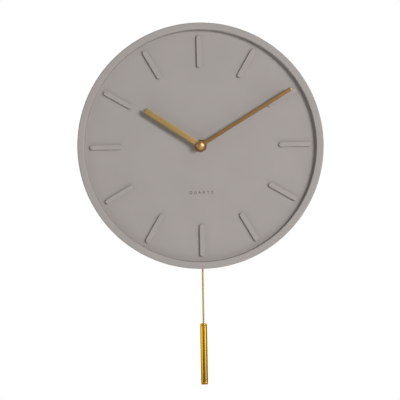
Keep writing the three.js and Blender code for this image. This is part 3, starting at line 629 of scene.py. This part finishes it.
def case_ring():
    """The rim, with a flange for the dial, two bosses for the hanger and a notch for the rod."""
    profile = rounded(
        [
            (OUTER, FRONT, 1.6),
            (OUTER, 0, 0.7),
            (WALL_INNER, 0, 0.6),
            (WALL_INNER, DIAL_FRONT, 0.3),
            (FLANGE_RADIUS, DIAL_FRONT, 0.1),
            (LIP_RADIUS, FRONT, 0.9),
        ],
        6,
    )
    ring = turned(profile, 240)
    hanger_low = box_of("hanger_plate")[0]
    boss_near, boss_far, boss_front = 16.5, 28.5, -26
    boss_top = math.sqrt(WALL_INNER**2 - boss_near**2) + 0.5
    bosses = []
    for side in (-1, 1):
        left, right = sorted((side * boss_near, side * boss_far))
        outline = rectangle(left, right, hanger_low.z, boss_top)
        bosses.append(prism(outline, boss_front, hanger_low.y))
    ring = joined(ring, *bosses)
    # Drawn lying down, with the depth from the wall in place of z.
    half, behind, deep, round_off = 20, -6, 17, 3
    corners = [(-half, behind, 0), (half, behind, 0), (half, deep, round_off), (-half, deep, round_off)]
    opening = rounded(corners, 6)
    notch = upright(prism(opening, -OUTER - 2, -FLANGE_RADIUS))
    holes = [pilot(node, DIAL_SCREW_HOLE) for node in dial_screws]
    holes += [pilot(node, HANGER_SCREW_HOLE) for node in hanger_screws]
    return cut(ring, notch, *holes)


piece("case_ring", case_ring(), case_paint, "case", smooth=32)

marker_low, marker_high = box_of("hour_marker_12")
for hour in range(1, 13):
    bar = prism(stadium(marker_high.x, marker_low.z, marker_high.z, 12), marker_low.y, DIAL_FRONT)
    name = f"hour_marker_{hour:02d}"
    piece(name, bar, dial_paint, "case", edge=0.9, segments=6, turn=30 * hour)


def dial_print():
    """The one generic word on the dial, as a thin printed layer."""
    ink_depth, word_z = 0.02, -57
    text = bpy.data.curves.new("dial_print", "FONT")
    text.body = "QUARTZ"
    text.size = 4.6 * MM
    text.space_character = 1.95
    text.align_x = "CENTER"
    text.align_y = "CENTER"
    text.extrude = ink_depth * MM
    text.offset = 0.03 * MM
    made = in_scene("dial_print", text)
    ink = Surface("dial_print", (0.05, 0.046, 0.044), roughness=0.6, Specular_IOR_Level=0.25)
    ink.paint(ink.tinted(ink.ranged(ink.noise(0.4, 3), 0, 1), 0.25))
    ink.rough(ink.noise(0.3, 3), 0.08)
    ink.bumps((ink.noise(0.2, 2), 0.004, 0.3))
    text.materials.append(ink.material)
    made.rotation_euler = (math.radians(90), 0, 0)
    made.location = DIAL + Vector((0, DIAL_FRONT - ink_depth, word_z)) * MM
    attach(made, "case")


dial_print()


# ---------------- hands and hub

clamp_low, clamp_high = box_of("dial_nut")
washer_low, washer_high = box_of("dial_washer")


def hand(name, material, slot, rides, turn, width, reach, eye, bore, slope):
    """A flat hand with a round eye, whose front falls off gently over its last bit, slope."""
    low, high = box_of(name)
    half = width / 2
    depths = [low.y, low.y + slope * 0.09, low.y + slope * 0.3, high.y]
    insets = [slope, slope * 0.5, 0, 0]
    blade = layered([stadium(half - n, -half + n, reach - n, 20) for n in insets], depths)
    hub = layered([circle(eye - n, steps=64) for n in insets], depths)
    shape = cut(joined(blade, hub), prism(circle(bore, steps=48), low.y - PAST, high.y + PAST))
    piece(name, shape, material, rides, edge=0.12, turn=turn, smooth=30)


# Angles are clockwise from 12, as in the photo. The sizes are width, reach, eye, bore and slope.
HOUR_ANGLE = 303.35
MINUTE_ANGLE = 58.9
HOUR_SIZES = (7.25, 81.3, 4.9, 2.25, 1.3)
MINUTE_SIZES = (4.65, 130.3, 4.4, 1.1, 0.9)
hand("hour_hand", hour_gold, "hour_hand_gold", "hour_work", HOUR_ANGLE, *HOUR_SIZES)
hand("minute_hand", minute_gold_painted_shade, "minute_hand_gold", "minute_work", MINUTE_ANGLE, *MINUTE_SIZES)


def cap():
    """The domed cap: a short straight skirt, a flattened dome and a plug behind it."""
    low, high = box_of("hand_cap")
    radius = high.x
    base = box_of("minute_hand")[0].y
    bore, skirt, steps = 1.1, 0.5, 14
    dome = []
    for step in range(steps + 1):
        turn = math.pi / 2 * step / steps
        height = (low.y - base + skirt) * math.sin(turn) ** 1.15
        dome.append((radius * math.cos(turn) ** 0.9, base - skirt + height))
    dome[-1] = (0, low.y)
    return turned([(radius, base), *dome, (0, high.y), (bore, high.y), (bore, base)], 72)


piece("hand_cap", cap(), cap_brass, "minute_work")


def nut():
    """The round nut that clamps the dial, narrower in front than at its foot."""
    bore, front_radius, foot = 4.05, 5.6, 0.5
    profile = [(bore, clamp_low.y, 0.15), (front_radius, clamp_low.y, 0.3)]
    profile += [(clamp_high.x, clamp_high.y - foot, 0.25), (clamp_high.x, clamp_high.y, 0.1)]
    profile.append((bore, clamp_high.y, 0.1))
    return turned(rounded(profile), 96)


piece("dial_nut", nut(), nut_brass, "case")


def washer():
    """The flat washer between the nut and the dial."""
    bore = 4.1
    profile = [(bore, washer_low.y, 0.1), (washer_high.x, washer_low.y, 0.15)]
    profile += [(washer_high.x, washer_high.y, 0.1), (bore, washer_high.y, 0.1)]
    return turned(rounded(profile, 3), 96)


piece("dial_washer", washer(), machined_brass, "case")


def bushing():
    """The threaded bushing: 60-degree grooves down to the flange inside the housing."""
    low, high = box_of("threaded_bushing")
    pitch, depth, radius, bore = 0.75, 0.4, 4.0, 2.7
    root, lead_in, thread_end, flange = radius - depth, 0.2, clamp_high.y + 6, 0.7
    profile = [(bore, low.y), (root, low.y)]
    y = low.y + lead_in
    while y + pitch < thread_end:
        profile += [(radius, y + pitch * 0.35), (radius, y + pitch * 0.5), (root, y + pitch * 0.9)]
        y += pitch
    flange_y = high.y - flange
    profile += [(radius, flange_y), (high.x, flange_y), (high.x, high.y), (bore, high.y)]
    return turned(profile, 64)


piece("threaded_bushing", bushing(), machined_brass, "case")


# ---------------- screws and hanger


def pan_head(node, shank, head_height, cross):
    """A pan-head screw along y whose head looks to the rear, with a cross recess."""
    low, high = box_of(node)
    place = middle(node)
    radius = (high.x - low.x) / 2
    seat = high.y - head_height
    pitch, tip, plain, core, run_out = 0.7, 0.3, 1.2, shank * 0.72, 0.4
    corners = [(0, low.y, 0), (shank * 0.4, low.y + tip, 0)]
    y = low.y + plain
    while y + pitch < seat - run_out:
        corners += [(core, y, 0), (shank, y + pitch / 2, 0)]
        y += pitch
    corners += [(shank, seat, 0), (radius, seat, 0.12), (radius, high.y, 0.8), (0, high.y, 0)]
    body = turned(rounded(corners, 5), 32)
    half_arm, sunk, above = 0.3, 0.7, 0.5
    arms = []
    for turn in (20, 110):
        arm_start = (-cross / 2, high.y - sunk, -half_arm)
        arm = block(arm_start, (cross / 2, high.y + above, half_arm))
        arms.append(moved(arm, turn_y=turn))
    return moved(cut(body, *arms), place.x, 0, place.z)


# The radius of the shank, the height of the head and the width of the cross.
DIAL_SCREW_SIZES = (1.15, 1.5, 2.6)
HANGER_SCREW_SIZES = (1.35, 1.4, 3.0)
for screw in dial_screws:
    piece(screw, pan_head(screw, *DIAL_SCREW_SIZES), zinc, "case", smooth=30)
for screw in hanger_screws:
    piece(screw, pan_head(screw, *HANGER_SCREW_SIZES), zinc, "case", smooth=30)


def hanger():
    """The keyhole plate: the nail stands at the top of the slot, which is at the part's origin."""
    low, high = box_of("hanger_plate")
    front, rear = low.y - PAST, high.y + PAST
    plate = prism(rectangle(low.x, high.x, low.z, high.z, 3), low.y, high.y)
    nail = -DIAL.z / MM
    half_slot, entry_radius, drop, screw_hole = 2.2, 4.5, 11, 1.55
    slot = prism(stadium(half_slot, nail - drop, nail + half_slot), front, rear)
    entry = prism(circle(entry_radius, 0, nail - drop, 40), front, rear)
    holes = [pilot(node, screw_hole) for node in hanger_screws]
    return cut(plate, slot, entry, *holes)


piece("hanger_plate", hanger(), zinc, "case", edge=0.2, segments=2)


def retaining_ring():
    """The ring that holds the dial from behind, with a thinner inner edge."""
    low, high = box_of("dial_retaining_ring")
    inner, slope_inner, slope_outer, thin_y, screw_hole = 139, 140.8, 141.6, high.y - 0.6, 1.45
    profile = rounded(
        [
            (inner, low.y, 0.2),
            (high.x, low.y, 0.2),
            (high.x, high.y, 0.5),
            (slope_outer, high.y, 0.3),
            (slope_inner, thin_y, 0.3),
            (inner, thin_y, 0.5),
        ],
        3,
    )
    return cut(turned(profile, 200), *[pilot(node, screw_hole, 0.1) for node in dial_screws])


piece("dial_retaining_ring", retaining_ring(), black_plastic, "case")


# ---------------- movement housing

cover_high = box_of("rear_cover")[1]
cell_low, cell_high = box_of("battery_cell")
knob_low, knob_high = box_of("setting_knob")
KNOB = middle("setting_knob")


def arc_arrow(x, z, inner, outer, first, last, front_y, rear_y):
    """A bent arrow round a point, from one angle to the other, as a flat body."""
    steps, width = 14, outer - inner
    barb, head = width * 0.9, last + width * 14
    there = [(outer, first + (last - first) * step / steps) for step in range(steps + 1)]
    point = [(outer + barb, last), ((inner + outer) / 2, head), (inner - barb, last)]
    back = [(inner, last + (first - last) * step / steps) for step in range(steps + 1)]
    outline = [polar(radius, math.radians(angle), x, z) for radius, angle in there + point + back]
    return prism(outline, front_y, rear_y)


def cover():
    """The rear cover: a label field, ejector marks, a lip round the battery bay and raised signs."""
    face = cover_high.y
    above = face + PAST
    shell = copied("rear_cover")
    field = prism(rectangle(-23, 9, -23, 21, 2), face - 0.35, above)
    mark_radius, mark_depth = 2.4, 0.25
    mark_places = ((17, 19), (-20, -70), (20, -70))
    marks = [prism(circle(mark_radius, x, z), face - mark_depth, above) for x, z in mark_places]
    bay_half, bay_low, bay_high, wall, lip_height = 26.2, -46.6, -30.2, 1.2, 0.5
    lip_half = bay_half + wall
    lip_outline = rectangle(-lip_half, lip_half, bay_low - wall, bay_high + wall, 1)
    bay = prism(rectangle(-bay_half, bay_half, bay_low, bay_high, 0.3), face - 2, above)
    lip = cut(prism(lip_outline, face - lip_height, face + lip_height), bay)
    foot, top = face - 0.3, face + 0.35
    arrow = arc_arrow(KNOB.x, KNOB.z, 8.3, 9.1, 130, 200, foot, top)
    # The plus sign's strokes and the minus sign, each as its low and high x and its low and high z.
    strokes = ((22.2, 25.4, -26.4, -25.6), (23.4, 24.2, -27.6, -24.4), (-25.4, -23.6, -26.4, -25.6))
    signs = [block((left, foot, low), (right, top, high)) for left, right, low, high in strokes]
    return joined(cut(shell, field, *marks), lip, arrow, *signs)


piece("rear_cover", cover(), housing_plastic, "case", edge=0.14, segments=2)
front_body = copied("front_shell")
piece("front_shell", front_body, housing_plastic, "case", edge=0.3, segments=2)


def clips():
    """Four snap hooks across the seam of the two halves."""
    sunk, proud, front, rear, half = 0.4, 0.8, -24.2, -16.8, 3.5
    hooks = []
    for side in (-1, 1):
        left, right = sorted((side * (cover_high.x - sunk), side * (cover_high.x + proud)))
        for z in (-66, 14):
            hooks.append(block((left, front, z - half), (right, rear, z + half)))
    return gathered(*hooks)


piece("housing_clips", clips(), housing_plastic, "case", nodes=[], edge=0.3)


def knob():
    """The setting knob: a fluted grip with two sunk arrows, on the stem and pinion of the frame."""
    grip_height, grip_radius, flutes, flute_depth, steps = 2.8, 6, 12, 0.45, 144
    rear, front = knob_high.y, knob_high.y - grip_height
    outline = []
    for step in range(steps):
        turn = 2 * math.pi * step / steps
        radius = grip_radius - flute_depth * (0.5 - 0.5 * math.cos(flutes * turn)) ** 1.5
        outline.append(polar(radius, turn))
    grip = prism(outline, front, rear)
    arrow_depth, dish_depth, above = 0.35, 0.5, rear + PAST
    arrows = []
    for first in (25, 205):
        arrows.append(arc_arrow(0, 0, 3.1, 3.8, first, first + 95, rear - arrow_depth, above))
    dish = prism(circle(1.5), rear - dish_depth, above)
    grip = moved(cut(grip, *arrows, dish), KNOB.x, 0, KNOB.z)
    margin = Vector((PAST, PAST, PAST))
    keep_high = knob_high + margin
    keep_high.y = front - 0.3
    stem = combined(copied("setting_knob"), [block(knob_low - margin, keep_high)], "INTERSECT")
    # A link that reaches into the stem and into the grip makes one body of them.
    radius, start, end = 2.12, front - 0.6, front + 0.4
    link = turned([(0, start), (radius, start), (radius, end), (0, end)], 48)
    link = moved(link, KNOB.x, 0, KNOB.z)
    whole = joined(grip, stem, link)
    sliver = 2e-3
    bmesh.ops.dissolve_degenerate(whole, dist=sliver, edges=whole.edges)
    return whole


piece("setting_knob", knob(), white_plastic, "knob_work", edge=0.12, segments=2)


# ---------------- battery


CELL = middle("battery_cell")
CELL_RADIUS = (cell_high.z - cell_low.z) / 2
CELL_LENGTH = cell_high.x - cell_low.x
TERMINAL_HEIGHT = 1.1


def battery_can():
    """The steel can: a rolled negative end and a raised positive terminal."""
    wall = CELL_RADIUS - 0.12
    shoulder = CELL_LENGTH - TERMINAL_HEIGHT
    dish, groove = 0.35, shoulder - 0.6
    profile = rounded(
        [
            (0, dish, 0),
            (CELL_RADIUS - 2.2, dish, 0.2),
            (CELL_RADIUS - 1.8, 0, 0.25),
            (wall, 0, 0.8),
            (wall, shoulder, 0.6),
            (CELL_RADIUS - 2.6, shoulder, 0.4),
            (CELL_RADIUS - 3.0, groove, 0.2),
            (2.7, groove, 0.3),
            (2.6, CELL_LENGTH, 0.6),
            (0, CELL_LENGTH, 0),
        ],
        4,
    )
    return sideways(turned(profile, 64), cell_low.x, CELL.y, CELL.z)


def battery_sleeve():
    """The printed sleeve round the can, which leaves both of its ends bare."""
    inner, outer, start = CELL_RADIUS - 0.3, CELL_RADIUS, 0.9
    end = CELL_LENGTH - TERMINAL_HEIGHT - 0.7
    profile = [(inner, start, 0.05), (outer, start, 0.1), (outer, end, 0.1), (inner, end, 0.05)]
    return sideways(turned(rounded(profile, 3), 72), cell_low.x, CELL.y, CELL.z)


label = sleeve(cell_low.x, cell_high.x)
piece("battery_can", battery_can(), contact_steel, "case", ["battery_cell"])
piece("battery_sleeve", battery_sleeve(), label, "case", ["battery_cell"])

CONTACT_THICKNESS = 0.4


def contact(side):
    """A contact plate with round corners, standing across x."""
    plate = prism(rectangle(-5.5, 5.5, -6, 6, 1.2), 0, CONTACT_THICKNESS)
    plate.transform(Matrix.Rotation(math.radians(90), 4, "Z"))
    return moved(plate, side, CELL.y - 0.5, CELL.z)


def battery_spring():
    """The negative contact: a plate with a coil that narrows towards the cell."""
    low = box_of("battery_spring")[0]
    wire, turns, foot_radius, narrowing, lift, height = 0.3, 3, 5, 2.4, 0.45, 1.05
    count = 30 * turns
    points = []
    for step in range(count + 1):
        share = step / count
        radius = foot_radius - narrowing * share
        turn = 2 * math.pi * turns * share
        x = low.x + lift + height * share
        points.append(Vector((x, CELL.y + radius * math.cos(turn), CELL.z + radius * math.sin(turn))))
    coil = swept(points, [wire] * len(points), 10)
    return gathered(contact(low.x + CONTACT_THICKNESS), coil)


def battery_plate():
    """The positive contact: a plate with a pressed bump that touches the terminal."""
    low, high = box_of("battery_plate")
    sunk, foot_radius, top_radius = 0.3, 2, 1.2
    rise = high.x - low.x - sunk
    bump = rounded([(0, 0, 0), (foot_radius, 0, 0), (top_radius, rise, 0.3), (0, rise, 0)])
    bump = sideways(turned([(r, -y) for r, y in bump], 32), high.x - sunk, CELL.y, CELL.z)
    return gathered(contact(high.x), bump)


piece("battery_spring", battery_spring(), contact_steel, "case")
piece("battery_plate", battery_plate(), contact_steel, "case")


# ---------------- pendulum

rod_low, rod_high = box_of("pendulum_rod")
tube_low, tube_high = box_of("bob_tube")
top_low, top_high = box_of("bob_top_cap")
bottom_low, bottom_high = box_of("bob_bottom_cap")
arm_low, arm_high = box_of("swing_arm")
pin_low, pin_high = box_of("pivot_pin")
PIN = middle("pivot_pin")
MAGNET = middle("drive_magnet")
ROD_Y = middle("bob_tube").y
ROD_RADIUS = 1.08
BOB_RADIUS = tube_high.x
# The arm's hook stands in the middle of the rod's eye.
HOOK_Z = rod_high.z - rod_high.x


def pendulum_rod():
    """The wire, with its upper end bent into an eye of slightly thinner wire."""
    eye_wire, neck, closing = 0.78, 6, 268
    straight_steps, neck_steps, eye_steps = 40, 12, 36
    bend = rod_high.x - eye_wire
    foot_z, neck_z = rod_low.z, HOOK_Z - neck
    points, radii = [], []
    for step in range(straight_steps + 1):
        points.append(Vector((0, ROD_Y, foot_z + (neck_z - foot_z) * step / straight_steps)))
        radii.append(ROD_RADIUS)
    for step in range(1, neck_steps):
        share = step / neck_steps
        ease = share * share * (3 - 2 * share)
        points.append(Vector((bend * ease, ROD_Y, neck_z + neck * share)))
        radii.append(ROD_RADIUS + (eye_wire - ROD_RADIUS) * ease)
    for step in range(eye_steps + 1):
        place = polar(bend, math.radians(closing * step / eye_steps), 0.0, HOOK_Z)
        points.append(Vector((place.x, ROD_Y, place.y)))
        radii.append(eye_wire)
    return swept(points, radii, 20)


piece("pendulum_rod", pendulum_rod(), rod_brass, "pendulum", smooth=60)


def bob_tube():
    """The tube of the bob, between its two caps."""
    bore = BOB_RADIUS - 0.8
    corners = [(bore, tube_low.z, 0.1), (BOB_RADIUS, tube_low.z, 0.25)]
    corners += [(BOB_RADIUS, tube_high.z, 0.25), (bore, tube_high.z, 0.1)]
    return upright(turned(rounded(corners), 96), 0, ROD_Y, 0)


def bob_cap(low_z, high_z, seam_z, hole, groove):
    """A cap of the bob with its plug, a groove and a rounded end; hole is 0 on the closed one."""
    plug, half_groove, groove_depth = BOB_RADIUS - 0.85, 0.3, 0.25
    upward = seam_z > (low_z + high_z) / 2
    end, inner = (high_z, low_z) if upward else (low_z, high_z)
    way = 1 if upward else -1
    corners = [
        (hole, inner, 0),
        (plug, inner, 0.3),
        (plug, seam_z, 0),
        (BOB_RADIUS, seam_z, 0.25),
        (BOB_RADIUS, seam_z + way * (groove - half_groove), 0.1),
        (BOB_RADIUS - groove_depth, seam_z + way * groove, 0.05),
        (BOB_RADIUS, seam_z + way * (groove + half_groove), 0.1),
        (BOB_RADIUS, end, 0.5),
        (hole, end, 0.2 if hole else 0),
    ]
    return upright(turned(rounded(corners), 96), 0, ROD_Y, 0)


GROOVE = 1.2
ROD_HOLE = ROD_RADIUS + 0.04
top_cap = bob_cap(top_low.z, top_high.z, tube_high.z, ROD_HOLE, GROOVE)
bottom_cap = bob_cap(bottom_low.z, bottom_high.z, tube_low.z, 0, GROOVE)
piece("bob_tube", bob_tube(), bob_brass, "pendulum")
piece("bob_top_cap", top_cap, bob_brass, "pendulum")
piece("bob_bottom_cap", bottom_cap, bob_brass, "pendulum")


def swing_arm():
    """The moulded arm: an eye on the pivot, a waist with two ribs, the magnet's foot and the hook."""
    post_height, foot, waist, eye_radius = 4.4, arm_high.x, 3.0, 4.5
    front, rear = arm_low.y, arm_high.y - post_height
    foot_top, waist_foot = MAGNET.z + 4, MAGNET.z + 8
    eye = prism(circle(eye_radius, 0, PIN.z, 48), front, rear)
    limb = rounded(
        [
            (-waist, PIN.z, 0),
            (-waist, waist_foot, 2.5),
            (-foot, foot_top, 2),
            (-foot, arm_low.z, 2.5),
            (foot, arm_low.z, 2.5),
            (foot, foot_top, 2),
            (waist, waist_foot, 2.5),
            (waist, PIN.z, 0),
        ],
        6,
    )
    rib_width, rib_height, sunk = 0.9, 0.5, 0.2
    ribs = []
    for side in (-1, 1):
        left, right = sorted((side * (waist - rib_width), side * waist))
        rib_start = (left, rear - sunk, MAGNET.z + 7.5)
        ribs.append(block(rib_start, (right, rear + rib_height, PIN.z - 2)))
    inner, outer, collar_y = 1.4, 3.1, rear + 0.15
    collar = [(inner, front, 0), (outer, front, 0), (outer, collar_y, 0.1), (inner, collar_y, 0)]
    collar = moved(turned(rounded(collar), 40), 0, 0, PIN.z)
    post_radius, knob_radius, knob_y = 1.2, 2, arm_high.y - 0.8
    post = rounded(
        [
            (0, rear - 1, 0),
            (post_radius, rear - 1, 0),
            (post_radius, knob_y, 0.15),
            (knob_radius, knob_y, 0.15),
            (knob_radius, arm_high.y, 0.35),
            (0, arm_high.y, 0),
        ]
    )
    hook = moved(turned(post, 40), 0, 0, HOOK_Z)
    whole = joined(prism(limb, front, rear), eye, *ribs, collar, hook)
    pin_radius, magnet_radius = 1.35, 4.05
    pin_hole = prism(circle(pin_radius, 0, PIN.z, 40), front - PAST, rear + PAST)
    pocket = prism(circle(magnet_radius, 0, MAGNET.z, 64), front - PAST, rear + PAST)
    return cut(whole, pin_hole, pocket)


piece("swing_arm", swing_arm(), white_plastic, "pendulum", edge=0.22, segments=2)


def disc_magnet():
    """The round magnet in the arm's foot."""
    low, high = box_of("drive_magnet")
    corners = [(0, low.y, 0), (high.x, low.y, 0.35), (high.x, high.y, 0.35), (0, high.y, 0)]
    return moved(turned(rounded(corners), 64), 0, 0, MAGNET.z)


def pivot_pin():
    """The pin that the arm swings on, with a flat head."""
    shank, head, seat = 1.2, 2.4, pin_high.y - 0.9
    corners = [(0, pin_low.y, 0), (shank, pin_low.y, 0.2), (shank, seat, 0.1), (head, seat, 0.1)]
    corners += [(head, pin_high.y, 0.5), (0, pin_high.y, 0)]
    return moved(turned(rounded(corners), 48), 0, 0, PIN.z)


piece("drive_magnet", disc_magnet(), magnet_nickel, "pendulum")
piece("pivot_pin", pivot_pin(), zinc, "case")


# ---------------- what stays as the frame has it

# The dial plate is flat and hidden at its edge. The others get slightly rounded edges.
FRAME_EDGE = 0.06
kept = {
    "dial_plate": dial_paint,
    "rubber_gasket": rubber,
    "train_bridge": white_plastic,
    "motor_stator": motor_steel,
    "motor_coil": copper,
    "drive_coil": copper,
    "circuit_board": board,
    "control_chip": black_plastic,
    "quartz_crystal": contact_steel,
    "motor_rotor": magnet_nickel,
}
for wheel in ("centre", "hour", "motion", "third", "seconds", "intermediate"):
    kept[f"{wheel}_wheel"] = white_plastic
for node, material in kept.items():
    shown = frame["nodes"][node]
    shown.data.materials.clear()
    shown.data.materials.append(material)
    if node != "dial_plate":
        weld = shown.modifiers.new("weld", "WELD")
        weld.merge_threshold = 0.005 * MM
        soften(shown, FRAME_EDGE, 2)
        even_normals(shown)


# ---------------- camera, light and floor

# The photo is turned by a degree, so the camera is, and not the clock.
PHOTO_TURN = 1
CAMERA_X, CAMERA_Z, CAMERA_DISTANCE = -1.76, -66.1, 1600
camera_data = bpy.data.cameras.new("camera")
camera_data.lens = 118.4
camera_data.sensor_width = 36
camera_data.clip_end = 50
camera = in_scene("camera", camera_data)
camera_place = DIAL + Vector((CAMERA_X, FRONT - CAMERA_DISTANCE, CAMERA_Z)) * MM
tilt = Matrix.Rotation(math.radians(PHOTO_TURN), 4, "Y") @ Matrix.Rotation(math.radians(90), 4, "X")
camera.matrix_world = Matrix.Translation(camera_place) @ tilt
bpy.context.scene.camera = camera
bpy.context.scene.view_settings.view_transform = "Standard"


def area_light(name, azimuth, elevation, distance, width, height, radiance):
    """A panel that is seen from the dial at these angles, with the radiance of its surface."""
    data = bpy.data.lights.new(name, "AREA")
    data.shape = "RECTANGLE"
    data.size = width
    data.size_y = height
    data.energy = radiance * math.pi * width * height
    lamp = in_scene(name, data)
    across, up = math.radians(azimuth), math.radians(elevation)
    towards = Vector((math.sin(across) * math.cos(up), -math.cos(across) * math.cos(up), math.sin(up)))
    lamp.location = DIAL + towards * distance
    lamp.rotation_euler = towards.to_track_quat("Z", "Y").to_euler()


# Azimuth and elevation in degrees, distance, width and height in metres, and radiance. The bands and
# edges lie level and low, for the bob to mirror. The two at the rear light the back.
PANELS = {
    "key": (33, 11, 4.0, 1.2, 1.2, 25.5),
    "right_band": (56, -5, 3.0, 1.0, 0.9, 3.4),
    "right_near": (28, -7, 3.1, 1.4, 0.6, 0.8),
    "left_band": (-68, -5, 3.0, 3.0, 0.9, 1.25),
    "left_wall": (-66, 8, 3.2, 3.0, 2.2, 0.42),
    "ceiling": (0, 66, 3.0, 3.0, 2.2, 0.42),
    "table": (0, -58, 1.1, 1.0, 0.6, 0.42),
    "front_card": (0, 0, 3.0, 1.2, 1.2, 0.62),
    "right_edge": (97, -5, 3.0, 1.8, 0.9, 0.5),
    "left_edge": (-112, -5, 3.0, 1.8, 0.9, 0.7),
    "rear_left": (150, 25, 3.0, 2.0, 2.0, 4.5),
    "rear_right": (-150, 25, 3.0, 2.0, 2.0, 4.5),
}
for name, panel in PANELS.items():
    area_light(name, *panel)

# The camera sees a white ground behind the clock, which gets much less light from it.
AMBIENT = 0.08
BACKGROUND = 1.0
world = bpy.data.worlds.new("world")
bpy.context.scene.world = world
world.use_nodes = True
sky = world.node_tree.nodes
rays = sky.new("ShaderNodeLightPath")
strength = sky.new("ShaderNodeMapRange")
fill(strength, {"To Min": AMBIENT, "To Max": BACKGROUND})
world.node_tree.links.new(rays.outputs["Is Camera Ray"], strength.inputs["Value"])
world.node_tree.links.new(strength.outputs["Result"], sky["Background"].inputs["Strength"])
sky["Background"].inputs["Color"].default_value = (1, 1, 1, 1)

FLOOR_DROP = 1.1
floor_mesh = bpy.data.meshes.new("floor")
corners = [(-2, -2, 0), (2, -2, 0), (2, 2, 0), (-2, 2, 0)]
floor_mesh.from_pydata(corners, [], [(0, 1, 2, 3)])
floor = in_scene("floor", floor_mesh)
floor.location = (0, 0, cad_low.z - FLOOR_DROP)
floor_paint = Surface("floor", (0.82, 0.82, 0.81), roughness=0.8)
floor_paint.paint(floor_paint.tinted(floor_paint.ranged(floor_paint.noise(90, 3), 0, 1), 0.015))
floor_paint.rough(floor_paint.noise(6, 3), 0.06)
floor_mesh.materials.append(floor_paint.material)
